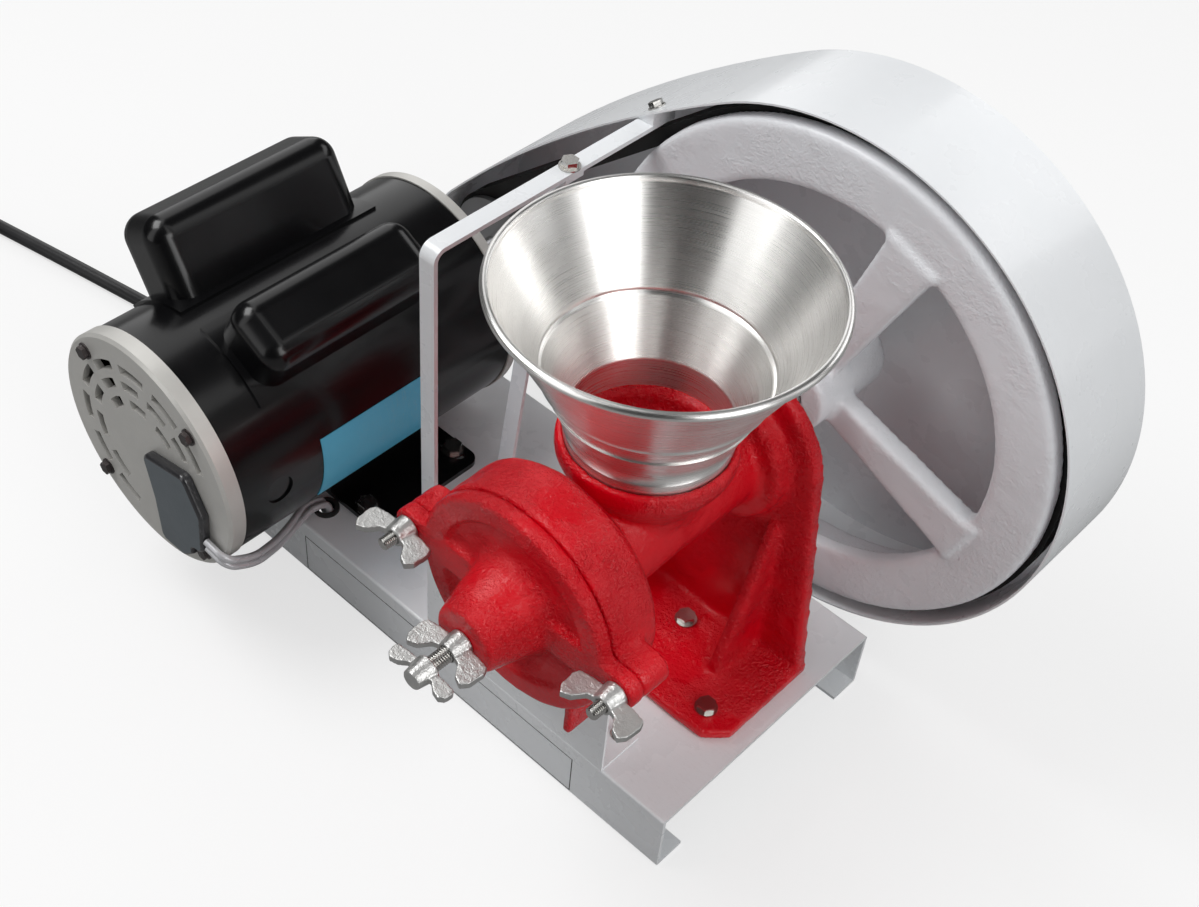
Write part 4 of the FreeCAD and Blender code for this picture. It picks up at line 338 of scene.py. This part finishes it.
# %% All finishes
finishes = {
    "white_paint": finish_material("white_paint", (0.86, 0.88, 0.90), rough=0.28, coat=0.3,
                                   drift=0.05, bump=0.15, coarse=260, depth=0.0002, dust=0.06,
                                   scuffs=0.15, scuff_colour=(0.5, 0.5, 0.5)),
    "cast_white": finish_material("cast_white", (0.84, 0.85, 0.88), rough=0.3,
                                  drift=0.06, bump=0.75, coarse=330, fine=900, depth=0.0012,
                                  dust=0.05, patches=0.75),
    "red_casting": finish_material("red_casting", (0.66, 0.0, 0.008), rough=0.17, drift=0.3,
                                   drift_scale=18, bump=1.0, coarse=420, fine=1000,
                                   depth=0.004, dust=0.0, patches=0.75, specular=0.4),
    "steel_hopper": brush(finish_material("steel_hopper", (0.72, 0.71, 0.69), metallic=1.0)),
    "black_paint": finish_material("black_paint", (0.003, 0.003, 0.0035), rough=0.24, coat=0.15,
                                   drift=0.3, bump=0.08, coarse=160, depth=0.0003, dust=0.004,
                                   specular=0.35),
    "die_cast": finish_material("die_cast", (0.62, 0.61, 0.58), rough=0.4, metallic=0.35,
                                drift=0.2, bump=0.3, coarse=300, depth=0.0004, dust=0.05,
                                scuffs=0.3),
    "dark_cover": finish_material("dark_cover", (0.02, 0.02, 0.023), rough=0.3, coat=0.5,
                                  bump=0.15, dust=0.05, scuffs=0.1),
    # slate grey for the terminal lid's forward face: a painted sheen that stands for the light the
    # black lid mirrors
    "painted_sheen_grey": finish_material("painted_sheen_grey", (0.10, 0.12, 0.135), rough=0.45, bump=0.25,
                                  coarse=260, depth=0.0004, drift=0.2, dust=0.08),
    "plate_blue": finish_material("plate_blue", (0.12, 0.62, 0.90), rough=0.35, drift=0.08,
                                  bump=0.05, dust=0.03, scuffs=0.2),
    "belt_rubber": finish_material("belt_rubber", (0.012, 0.012, 0.012), rough=0.75, bump=0.4,
                                   coarse=400, dust=0.1),
    "pulley_iron": finish_material("pulley_iron", (0.33, 0.33, 0.34), rough=0.4, metallic=0.9,
                                   bump=0.2),
    "core_steel": finish_material("core_steel", (0.3, 0.3, 0.32), rough=0.45, metallic=0.9),
    "copper_winding": finish_material("copper_winding", (0.5, 0.16, 0.05), rough=0.35,
                                      metallic=0.8, bump=0.5, coarse=500),
    "fan_plastic": finish_material("fan_plastic", (0.03, 0.03, 0.03), rough=0.5),
    "bright_steel": finish_material("bright_steel", (0.6, 0.6, 0.6), rough=0.25, metallic=1.0),
    "bronze": finish_material("bronze", (0.5, 0.33, 0.14), rough=0.35, metallic=0.9),
    "grinding_iron": finish_material("grinding_iron", (0.2, 0.2, 0.21), rough=0.5, metallic=0.8,
                                     bump=0.5),
    "capacitor_can": finish_material("capacitor_can", (0.65, 0.65, 0.67), rough=0.3,
                                     metallic=0.9),
    "zinc_cast": finish_material("zinc_cast", (0.50, 0.50, 0.49), rough=0.34, metallic=0.85,
                                 drift=0.45, drift_scale=60, bump=0.6, coarse=420, fine=1200,
                                 depth=0.0009, dust=0.05),
    "zinc_steel": finish_material("zinc_steel", (0.5, 0.49, 0.47), rough=0.24, metallic=1.0,
                                  drift=0.2, bump=0.2, coarse=400),
    "dark_bolt": finish_material("dark_bolt", (0.06, 0.05, 0.05), rough=0.4, metallic=0.8,
                                 scuffs=0.3),
    "lead_sleeve": finish_material("lead_sleeve", (0.55, 0.55, 0.57), rough=0.28, coat=0.4,
                                   metallic=0.2, bump=0.3, coarse=700),
    "grommet_rubber": finish_material("grommet_rubber", (0.015, 0.015, 0.015), rough=0.6),
    "cord_black": finish_material("cord_black", (0.01, 0.01, 0.011), rough=0.35, bump=0.2,
                                  coarse=300, dust=0.03),
}
slot_of = {part["node"]: part["material_slot"] for part in frame["record"]["subparts"]}
for name, node in nodes.items():
    node.data.materials.clear()
    node.data.materials.append(finishes[slot_of[name]])
print(len(finishes), "finishes on", len(slot_of), "nodes")


# %% [markdown]
# ## Castings
# A sand casting has no sharp corner: metal can't fill one, and the mould's sand can't hold one.
# The CAD solids meet in crisp edges, so each casting is made again from a copy of its solid: the
# copy is rebuilt as an even skin of small squares, and that skin is relaxed until every edge has
# the radius that a foundry would give it. A lumpy skin of a fraction of a millimetre is pushed
# into the real surface as well, so that the outline shows it and not only the shading.

# %% A skin over a solid
def merged_copy(name, part):
    """Copies a CAD node into a new object at the origin, with its loose triangles welded."""
    verts = [tuple(nodes[part].matrix_world @ vert.co) for vert in nodes[part].data.vertices]
    faces = [tuple(face.vertices) for face in nodes[part].data.polygons]
    mesh = bpy.data.meshes.new(name)
    mesh.from_pydata(verts, [], faces)
    piece = bpy.data.objects.new(name, mesh)
    bpy.context.scene.collection.objects.link(piece)
    weld = piece.modifiers.new("weld", "WELD")
    weld.merge_threshold = 1e-6
    return piece


def settle(piece):
    """Replaces a piece's mesh by what its modifiers make of it."""
    graph = bpy.context.evaluated_depsgraph_get()
    made = bpy.data.meshes.new_from_object(piece.evaluated_get(graph))
    old = piece.data
    piece.modifiers.clear()
    piece.data = made
    made.name = piece.name
    bpy.data.meshes.remove(old)
    return piece


def lumps(points, seed, scales=(90.0, 210.0, 430.0), weights=(0.5, 0.3, 0.2), waves=9):
    """A smooth lumpy field: for each scale, sine waves in random directions are added up and
    divided by the root of their count."""
    rng = np.random.default_rng(seed)
    field = np.zeros(len(points))
    for scale, weight in zip(scales, weights):
        directions = rng.normal(size=(waves, 3))
        directions /= np.linalg.norm(directions, axis=1)[:, None]
        phases = rng.uniform(0, 2 * np.pi, waves)
        angles = points @ directions.T * scale * 2 * np.pi / 3 + phases
        field += weight * np.sin(angles).sum(axis=1) / np.sqrt(waves)
    return field


def push_out(piece, amount):
    """Moves each vertex along its normal by an array of distances."""
    mesh = piece.data
    count = len(mesh.vertices)
    points = np.empty(count * 3)
    normals = np.empty(count * 3)
    mesh.vertices.foreach_get("co", points)
    mesh.vertex_normals.foreach_get("vector", normals)
    points = points.reshape(-1, 3)
    points += normals.reshape(-1, 3) * amount(points)[:, None]
    mesh.vertices.foreach_set("co", points.ravel())
    mesh.update()


def cast_piece(name, part, cell, rounds, lump, seed):
    """A casting's skin: squares of one cell, relaxed for some rounds, then lumped."""
    piece = merged_copy(name, part)
    skin = piece.modifiers.new("skin", "REMESH")
    skin.mode = "VOXEL"
    skin.voxel_size = cell
    relax = piece.modifiers.new("relax", "SMOOTH")
    relax.factor = 0.5
    relax.iterations = rounds
    settle(piece)
    push_out(piece, lambda points: lump * lumps(points, seed))
    mesh = piece.data
    mesh.polygons.foreach_set("use_smooth", np.ones(len(mesh.polygons), dtype=bool))
    mesh.materials.clear()
    mesh.materials.append(finishes[slot_of[part]])
    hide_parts(part)
    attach(piece, body_of[part])
    print(name, len(mesh.polygons), "faces")
    return piece


body_of = {part: body for body, parts in frame["record"]["behaviour"]["bodies"].items()
           for part in parts}

# %% Mill body, cover and flywheel
cast_piece("mill_casting", "mill_body", 0.0021, 6, 0.00022, seed=3)
cast_piece("cover_casting", "mill_cover", 0.0016, 6, 0.00018, seed=4)
cast_piece("wheel_casting", "flywheel", 0.0023, 2, 0.0001, seed=5)

# %% [markdown]
# The motor's terminal cover is a black lid. Its flat face carries a painted sheen: the skin's
# faces that look straight forwards get the second finish, a slate grey that stands for the light
# the black lid mirrors there, and its rounded rim keeps the first.

# %% Terminal cover
FORWARDS = -0.992
lid = cast_piece("terminal_lid", "terminal_cover", 0.0006, 12, 0.00004, seed=6)
lid.data.materials.append(finishes["painted_sheen_grey"])
facing = np.empty(len(lid.data.polygons) * 3)
lid.data.polygons.foreach_get("normal", facing)
# faces that look straight forwards get the painted sheen, slate grey in place of the lid's
# reflection
sheen_faces = facing.reshape(-1, 3)[:, 1] < FORWARDS
lid.data.polygons.foreach_set("material_index", sheen_faces.astype(np.int32))

# %% [markdown]
# Wing nuts and the adjusting screw's wings are small zinc castings. They are made in the same
# way, with a finer skin. Their bores stay open round the studs.

# %% Wing nuts
for number, part in enumerate(("wing_nut_left", "wing_nut_right", "lock_wing_nut")):
    cast_piece(f"cast_{part}", part, 0.0006, 5, 0.00009, seed=10 + number)
adjuster = cast_piece("cast_adjusting_screw", "adjusting_screw", 0.0006, 5, 0.00007, seed=14)


# %% [markdown]
# ## Threads
# The studs and the adjusting screw are threaded rods. A thread is a rod whose radius falls and
# rises once a pitch, and whose pattern turns with the angle, so that it climbs as a helix.

# %% Threads
CHAMFER = 0.001


def threaded_rod(name, part, axis, start, end, radius, pitch, depth=0.0005, steps=32, rows=8):
    """Radius = R - depth * |2 f - 1|, where f is the fraction of y / pitch + angle / (2 pi); the
    first millimetre narrows as a chamfer, and both ends close at the axis."""
    heights = np.arange(start, end, pitch / rows)
    angles = np.linspace(0, 2 * np.pi, steps, endpoint=False)
    y, angle = np.meshgrid(heights, angles, indexing="ij")
    wave = np.abs(2 * ((y / pitch + angle / (2 * np.pi)) % 1) - 1)
    reach = np.minimum(radius - depth * wave, radius - CHAMFER + (y - start))
    ring = np.stack([axis[0] + reach * np.cos(angle), y, axis[1] + reach * np.sin(angle)], axis=2)
    verts = np.vstack([ring.reshape(-1, 3), [[axis[0], heights[0], axis[1]],
                                             [axis[0], heights[-1], axis[1]]]])
    i, j = np.meshgrid(np.arange(len(heights) - 1), np.arange(steps), indexing="ij")
    after = (j + 1) % steps
    sides = np.stack([i * steps + j, (i + 1) * steps + j, (i + 1) * steps + after,
                      i * steps + after], axis=2).reshape(-1, 4)
    column = np.arange(steps)
    following = (column + 1) % steps
    last = (len(heights) - 1) * steps
    near = np.stack([column, following, np.full(steps, len(verts) - 2)], axis=1)
    far = np.stack([last + following, last + column, np.full(steps, len(verts) - 1)], axis=1)
    mesh = bpy.data.meshes.new(name)
    mesh.from_pydata(verts.tolist(), [], sides.tolist() + near.tolist() + far.tolist())
    mesh.materials.append(finishes["zinc_steel"])
    rod = bpy.data.objects.new(name, mesh)
    bpy.context.scene.collection.objects.link(rod)
    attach(rod, body_of[part])
    return rod


for part in ("cover_stud_left", "cover_stud_right"):
    low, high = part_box(part)
    axis = ((low[0] + high[0]) / 2, (low[2] + high[2]) / 2)
    stud = threaded_rod(f"threaded_{part}", part, axis, low[1], high[1],
                        (high[0] - low[0]) / 2, 0.00125)
    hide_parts(part)

# %% [markdown]
# The adjusting screw's skin was cast with a smooth shank. The shank is drawn in towards its axis
# and shortened a little, so that the thread covers it.

# %% The adjusting screw's shank
SHANK_RADIUS, SHANK_SLACK, WING_HEIGHT = 0.005, 0.0007, 0.013
SHANK_SHARE, TIP_LENGTH, TIP_CUT, THREAD_OVERLAP = 0.8, 0.002, 0.001, 0.001
low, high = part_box("adjusting_screw")
axis = ((low[0] + high[0]) / 2, (low[2] + high[2]) / 2)
points = np.empty(len(adjuster.data.vertices) * 3)
adjuster.data.vertices.foreach_get("co", points)
points = points.reshape(-1, 3)
across = points[:, [0, 2]] - axis
shank = (np.linalg.norm(across, axis=1) < SHANK_RADIUS + SHANK_SLACK)
shank &= points[:, 1] > low[1] + WING_HEIGHT + SHANK_SLACK
points[np.ix_(shank, [0, 2])] = np.array(axis) + across[shank] * SHANK_SHARE
points[shank & (points[:, 1] > high[1] - TIP_LENGTH), 1] -= TIP_CUT
adjuster.data.vertices.foreach_set("co", points.ravel())
adjuster.data.update()
threaded_rod("adjusting_thread", "adjusting_screw", axis, low[1] + WING_HEIGHT - THREAD_OVERLAP,
             high[1], SHANK_RADIUS, 0.0015, 0.0006)
print("threads on two studs and the adjusting screw")

# %% [markdown]
# ## Printed border
# A thin black line runs round an empty field on the base's front wall. It is a film of ink that
# stands a twentieth of a millimetre proud of the paint.

# %% The border
LINE, INK, WALL_Y = 0.0007, 0.00005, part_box("base_channel")[0][1]
LINE_LEFT, LINE_RIGHT, LINE_LOW, LINE_HIGH = -0.1385, 0.1155, 0.0023, 0.0366


def border(name):
    """Two nested rectangles, joined face to face, with the thickness of a film of ink."""
    verts = [(x, y, z) for y in (WALL_Y, WALL_Y - INK) for inset in (0, LINE) for x, z in (
        (LINE_LEFT + inset, LINE_LOW + inset), (LINE_RIGHT - inset, LINE_LOW + inset),
        (LINE_RIGHT - inset, LINE_HIGH - inset), (LINE_LEFT + inset, LINE_HIGH - inset))]
    faces = []
    for i in range(4):
        j = (i + 1) % 4
        faces += [(8 + i, 8 + j, 12 + j, 12 + i), (j, i, 4 + i, 4 + j),
                  (i, j, 8 + j, 8 + i), (4 + j, 4 + i, 12 + i, 12 + j)]
    mesh = bpy.data.meshes.new(name)
    mesh.from_pydata(verts, [], faces)
    mesh.materials.append(finishes["black_paint"])
    piece = bpy.data.objects.new(name, mesh)
    bpy.context.scene.collection.objects.link(piece)
    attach(piece, body_of["base_channel"])


border("printed_border")


# %% [markdown]
# ## Spun hopper
# The hopper is spun from one steel disc: a mandrel shapes the funnel, a step and a groove stiffen
# it, and the rim is rolled over a wire. A surface of revolution gives it: a smooth profile of
# radius and height, turned round the upright axis. The brush marks run round it, so it also gets a
# UV map, whose first direction goes round, and the steel's stretched gloss follows that map.

# %% A turned surface
def turned_surface(name, profile, centre, steps=256):
    """Point (i, j) = centre + radius_j * (cos a_i, sin a_i) and height_j, a_i = 2 pi i / steps."""
    profile = np.array(profile)
    count = len(profile)
    angles = np.linspace(0, 2 * np.pi, steps, endpoint=False)
    x = centre[0] + np.outer(np.cos(angles), profile[:, 0])
    y = centre[1] + np.outer(np.sin(angles), profile[:, 0])
    z = np.broadcast_to(centre[2] + profile[:, 1], x.shape)
    verts = np.stack([x, y, z], axis=2).reshape(-1, 3)
    i, j = np.meshgrid(np.arange(steps), np.arange(count), indexing="ij")
    following = (j + 1) % count
    around = (i + 1) % steps
    faces = np.stack([i * count + j, around * count + j, around * count + following,
                      i * count + following], axis=2).reshape(-1, 4)
    mesh = bpy.data.meshes.new(name)
    mesh.from_pydata(verts.tolist(), [], faces.tolist())
    length = np.concatenate([[0], np.cumsum(np.linalg.norm(np.diff(
        np.vstack([profile, profile[:1]]), axis=0), axis=1))])
    u = np.stack([i, i + 1, i + 1, i], axis=2) / steps
    v = np.stack([length[j], length[j], length[j + 1], length[j + 1]], axis=2)
    layer = mesh.uv_layers.new(name="around")
    layer.data.foreach_set("uv", np.stack([u, v], axis=3).ravel())
    mesh.polygons.foreach_set("use_smooth", np.ones(len(mesh.polygons), dtype=bool))
    piece = bpy.data.objects.new(name, mesh)
    bpy.context.scene.collection.objects.link(piece)
    return piece


def smooth_path(points, rounds=3):
    """Cuts the corners of an open path again and again: each run keeps its quarter points."""
    path = np.array(points, dtype=float)
    for _ in range(rounds):
        near = path[:-1] * 0.75 + path[1:] * 0.25
        far = path[:-1] * 0.25 + path[1:] * 0.75
        inner = np.stack([near, far], axis=1).reshape(-1, 2)
        path = np.vstack([path[:1], inner, path[-1:]])
    return path


LONGEST_SHARE = 0.4


def bent_path(corners, reach=0.0012):
    """A path of straight runs whose bends start one reach before each corner and end one reach
    after it, or at a share of the run where that is shorter."""
    corners = [np.array(corner, dtype=float) for corner in corners]
    path = [corners[0]]
    for before, corner, after in zip(corners, corners[1:], corners[2:]):
        inward = (before - corner) / np.linalg.norm(before - corner)
        outward = (after - corner) / np.linalg.norm(after - corner)
        near = min(reach, LONGEST_SHARE * np.linalg.norm(before - corner))
        far = min(reach, LONGEST_SHARE * np.linalg.norm(after - corner))
        path += [corner + inward * near, corner, corner + outward * far]
    return smooth_path(path + [corners[-1]])


# %% The hopper
foot_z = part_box("hopper")[0][2]
SHEET, ROLL_RADIUS = 0.0012, 0.0025
SPIGOT, SPIGOT_HEIGHT = 0.0465, 0.021
GROOVE, GROOVE_HEIGHT = 0.062, 0.056
RIM, RIM_HEIGHT = 0.0924, 0.1105
ROLL_GAP = 2.35
outer = bent_path([
    (SPIGOT, 0.0), (SPIGOT, SPIGOT_HEIGHT), (GROOVE, GROOVE_HEIGHT - 0.002),
    (GROOVE + 0.002, GROOVE_HEIGHT), (GROOVE + 0.002, GROOVE_HEIGHT + 0.002),
    (RIM - 0.0009, RIM_HEIGHT - 0.0016)])
tangent = np.gradient(outer, axis=0)
tangent /= np.linalg.norm(tangent, axis=1)[:, None]
inner = outer + np.stack([-tangent[:, 1], tangent[:, 0]], axis=1) * SHEET
roll_angle = np.linspace(-ROLL_GAP, ROLL_GAP, 15)
roll_centre = np.array([RIM - SHEET / 2, RIM_HEIGHT])
roll = roll_centre + ROLL_RADIUS * np.stack([np.cos(roll_angle), np.sin(roll_angle)], axis=1)
hopper = turned_surface("spun_hopper", np.vstack([outer, roll, inner[::-1]]),
                        (hopper_axis.x, hopper_axis.y, foot_z))
hopper.data.materials.append(finishes["steel_hopper"])
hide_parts("hopper")
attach(hopper, "hopper_body")
print("hopper", len(hopper.data.polygons), "faces, rim radius", round(float(roll[:, 0].max()), 4))

# %% The hopper's band
BAND_SHEET, BAND_LOW, BAND_TOP = 0.001, 0.01025, 0.042
flare = (GROOVE - SPIGOT) / (GROOVE_HEIGHT - 0.002 - SPIGOT_HEIGHT)
band_reach = SPIGOT + (BAND_TOP - SPIGOT_HEIGHT) * flare
band_profile = bent_path([
    (SPIGOT - SHEET / 2, BAND_LOW), (SPIGOT + BAND_SHEET, BAND_LOW),
    (SPIGOT + BAND_SHEET, SPIGOT_HEIGHT), (band_reach + BAND_SHEET, BAND_TOP),
    (band_reach - SHEET / 2, BAND_TOP)], 0.0004)
band = turned_surface("hopper_band", band_profile, (hopper_axis.x, hopper_axis.y, foot_z))
band.data.materials.append(finishes["steel_hopper"])
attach(band, "hopper_body")


# %% [markdown]
# ## Power cord
# The cord leaves the open end of the base, comes down to the floor and runs off to the side. The
# rest of its two metres is put away as a round coil in two layers, out of the picture. A cord is a
# curve: its control points are the route's corners, and the spline rounds them by itself.

# %% The cord's route
ORIGIN = Vector((0.2745, 0.0930, 0.0))
CORD_DIAMETER, PLUG_LEAD = 0.011, 0.045
COIL_PITCH = 0.0121
COIL_OUTER = 0.060 + COIL_PITCH
COIL_RINGS, RISE_TURNS = 2, 0.25
CORD_CORNERS = [(0.040, 0.103, 0.030), (-0.022, 0.099, 0.027), (-0.095, 0.091, 0.013),
                (-0.165, 0.084, 0.0057), (-0.255, 0.068, 0.0057), (-0.395, 0.041, 0.0057)]
route = [Vector(corner) - ORIGIN for corner in CORD_CORNERS]
heading = (route[-1] - route[-2]).normalized()
coil_start = route[-1] + heading * CORD_DIAMETER
first_turn = math.atan2(-heading.x, heading.y)
to_centre = Vector((-math.cos(first_turn), -math.sin(first_turn), 0))
coil_centre = coil_start + to_centre * COIL_OUTER
total_turns = 2 * COIL_RINGS + RISE_TURNS


def coil_points(turns):
    """Centre + radius * (cos, sin) of the turn; the radius shrinks by one pitch a turn, then grows
    again one layer higher, and the height follows a smooth step between the layers."""
    rise = np.clip((turns - COIL_RINGS) / RISE_TURNS, 0, 1)
    ring = np.minimum(turns, COIL_RINGS) - np.maximum(0, turns - COIL_RINGS - RISE_TURNS)
    angle = first_turn + 2 * np.pi * turns
    radius = COIL_OUTER - COIL_PITCH * ring
    lift = COIL_PITCH * rise * rise * (3 - 2 * rise)
    flat = np.stack([radius * np.cos(angle), radius * np.sin(angle), lift], axis=1)
    return flat + np.array(coil_centre)


turns = np.linspace(0, total_turns, 69)
wound = coil_points(turns)
end_angle = first_turn + 2 * math.pi * total_turns
end_heading = Vector((-math.sin(end_angle), math.cos(end_angle), 0))
cord_end = Vector(wound[-1]) + end_heading * PLUG_LEAD
cord_points = [tuple(point) for point in route] + [tuple(point) for point in wound]
cord_points.append(tuple(cord_end))
print(len(cord_points), "control points")


# %% The cord as a curve
def make_cord(name, points, radius, material):
    """A NURBS spline through the given control points with a round section."""
    curve = bpy.data.curves.new(name, "CURVE")
    curve.dimensions = "3D"
    spline = curve.splines.new("NURBS")
    spline.points.add(len(points) - 1)
    for control, point in zip(spline.points, points):
        control.co = (*point, 1)
    spline.order_u = 3
    spline.use_endpoint_u = True
    spline.resolution_u = 6
    curve.bevel_depth = radius
    curve.bevel_resolution = 6
    curve.use_fill_caps = True
    curve.materials.append(material)
    cord = bpy.data.objects.new(name, curve)
    bpy.context.scene.collection.objects.link(cord)
    return cord


cord = make_cord("mains_cord", cord_points, CORD_DIAMETER / 2, finishes["cord_black"])
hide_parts("power_cord", "power_cord_coil")
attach(cord, "frame")


# %% [markdown]
# ## Camera, light and floor
# The camera stands where the photographer stood: the place, the lens and the small tilt were
# worked out once from the machine's own straight edges and circles. Light is soft and white from
# large lamps, and the floor is pale, as in a product photograph.

# %% Camera
CAMERA_PLACE = Vector((0.4804, -0.5485, 0.9042))
AZIMUTH, ELEVATION, ROLL = math.radians(39.8), math.radians(46.3), math.radians(5.1)
FOCAL_PIXELS, IMAGE_WIDTH = 1666.2, 1199
SHIFT_PIXELS = (19.5, 18.7)


def camera_matrix():
    """Columns are the camera's right, up and back directions: back points from the machine to
    the camera, right is level, and both are then rolled about back."""
    back = Vector((math.sin(AZIMUTH) * math.cos(ELEVATION),
                   -math.cos(AZIMUTH) * math.cos(ELEVATION), math.sin(ELEVATION)))
    level = Vector((0, 0, 1)).cross(back).normalized()
    steep = back.cross(level)
    right = level * math.cos(ROLL) + steep * math.sin(ROLL)
    up = steep * math.cos(ROLL) - level * math.sin(ROLL)
    rotation = Matrix((right, up, back)).transposed().to_4x4()
    return Matrix.Translation(CAMERA_PLACE) @ rotation


camera_data = bpy.data.cameras.new("camera")
camera_data.sensor_width = 36
camera_data.lens = FOCAL_PIXELS * camera_data.sensor_width / IMAGE_WIDTH
camera_data.shift_x = SHIFT_PIXELS[0] / IMAGE_WIDTH
camera_data.shift_y = SHIFT_PIXELS[1] / IMAGE_WIDTH
camera = bpy.data.objects.new("camera", camera_data)
bpy.context.scene.collection.objects.link(camera)
camera.matrix_world = camera_matrix()
bpy.context.scene.camera = camera


# %% Lamps
def add_lamp(name, place, target, size, power):
    """A rectangular lamp of a size in metres and a power in watts, aimed at a target."""
    data = bpy.data.lights.new(name, "AREA")
    data.shape = "RECTANGLE"
    data.size, data.size_y = size
    data.energy = power
    lamp = bpy.data.objects.new(name, data)
    bpy.context.scene.collection.objects.link(lamp)
    away = Vector(place) - Vector(target)
    lamp.matrix_world = (Matrix.Translation(place)
                         @ away.to_track_quat("Z", "Y").to_matrix().to_4x4())
    return lamp


add_lamp("key_lamp", (-0.9, -0.5, 1.7), (0, 0, 0.15), (1.1, 0.8), 19)
add_lamp("fill_lamp", (1.6, -0.3, 1.1), (0, 0, 0.15), (1.0, 1.2), 12)
add_lamp("back_lamp", (0.3, 1.7, 1.3), (0, 0, 0.2), (1.6, 0.7), 7)

# %% [markdown]
# Mirrored rays see a dark room with a few bright sheets hung round it, which give steel and enamel
# their bands. The camera sees plain white, and the rest of the light is even.

# %% The world
SHEET_LIGHT, GAP_LIGHT, EVEN_LIGHT = 1.25, 0.03, 0.36
WIDE_WAVE, NARROW_WAVE, NARROW_SHARE, CUT = (3.0, 0.6), (7.0, 2.1), 0.55, (1.8, -0.5)


def build_studio():
    """Two sine waves of the direction's angle round the upright axis, three and seven times round,
    are added and cut off at 0 and 1: that is where the sheets hang."""
    world = bpy.data.worlds.new("studio")
    world.use_nodes = True
    tree = world.node_tree
    background = tree.nodes["Background"]
    ray = tree.nodes.new("ShaderNodeLightPath")
    seen = calc(tree, "MAXIMUM", ray.outputs["Is Camera Ray"], ray.outputs["Is Transmission Ray"])
    way = tree.nodes.new("ShaderNodeTexCoord").outputs["Generated"]
    split = add_node(tree, "ShaderNodeSeparateXYZ", Vector=way)
    turn = calc(tree, "ARCTAN2", split.outputs["Y"], split.outputs["X"])
    wide = calc(tree, "SINE", calc(tree, "MULTIPLY_ADD", turn, *WIDE_WAVE))
    narrow = calc(tree, "SINE", calc(tree, "MULTIPLY_ADD", turn, *NARROW_WAVE))
    sheets = calc(tree, "MULTIPLY_ADD", narrow, NARROW_SHARE, wide)
    sheets = calc(tree, "MULTIPLY_ADD", sheets, *CUT, clamp=True)
    room = calc(tree, "MULTIPLY_ADD", sheets, SHEET_LIGHT - GAP_LIGHT, GAP_LIGHT)
    change = calc(tree, "SUBTRACT", room, EVEN_LIGHT)
    mirrored = calc(tree, "MULTIPLY", ray.outputs["Is Glossy Ray"], change)
    soft = calc(tree, "ADD", mirrored, EVEN_LIGHT)
    strength = calc(tree, "MAXIMUM", soft, seen)
    tree.links.new(strength, background.inputs["Strength"])
    background.inputs["Color"].default_value = (1, 1, 1, 1)
    return world


bpy.context.scene.world = build_studio()

# %% [markdown]
# The floor is pale paper. The camera sees it mixed with plain white, so that it runs into the
# background and still shows the machine's shadow. Other rays see it darker, so that it doesn't
# throw light up under the machine.

# %% The floor
PALE, DARK, WHITE_SHARE, REACH = 0.93, 0.3, 0.65, 40.0
floor_mesh = bpy.data.meshes.new("floor")
floor_mesh.from_pydata([(-REACH, -REACH, 0), (REACH, -REACH, 0), (REACH, REACH, 0),
                        (-REACH, REACH, 0)], [], [(0, 1, 2, 3)])
floor = bpy.data.objects.new("floor", floor_mesh)
bpy.context.scene.collection.objects.link(floor)
paper = bpy.data.materials.new("floor_paper")
paper.use_nodes = True
tree = paper.node_tree
paper_shader = tree.nodes["Principled BSDF"]
paper_shader.inputs["Roughness"].default_value = 0.9
floor_ray = tree.nodes.new("ShaderNodeLightPath")
pale = calc(tree, "MULTIPLY_ADD", floor_ray.outputs["Is Camera Ray"], PALE - DARK, DARK)
tint = add_node(tree, "ShaderNodeCombineXYZ", X=pale, Y=pale, Z=pale)
tree.links.new(tint.outputs["Vector"], paper_shader.inputs["Base Color"])
glow = add_node(tree, "ShaderNodeEmission", Strength=1.0)
whiten = calc(tree, "MULTIPLY", floor_ray.outputs["Is Camera Ray"], WHITE_SHARE)
mixer = add_node(tree, "ShaderNodeMixShader", Fac=whiten)
tree.links.new(paper_shader.outputs["BSDF"], mixer.inputs[1])
tree.links.new(glow.outputs["Emission"], mixer.inputs[2])
tree.links.new(mixer.outputs["Shader"], tree.nodes["Material Output"].inputs["Surface"])
floor_mesh.materials.append(paper)
bpy.context.scene.view_settings.view_transform = "Standard"
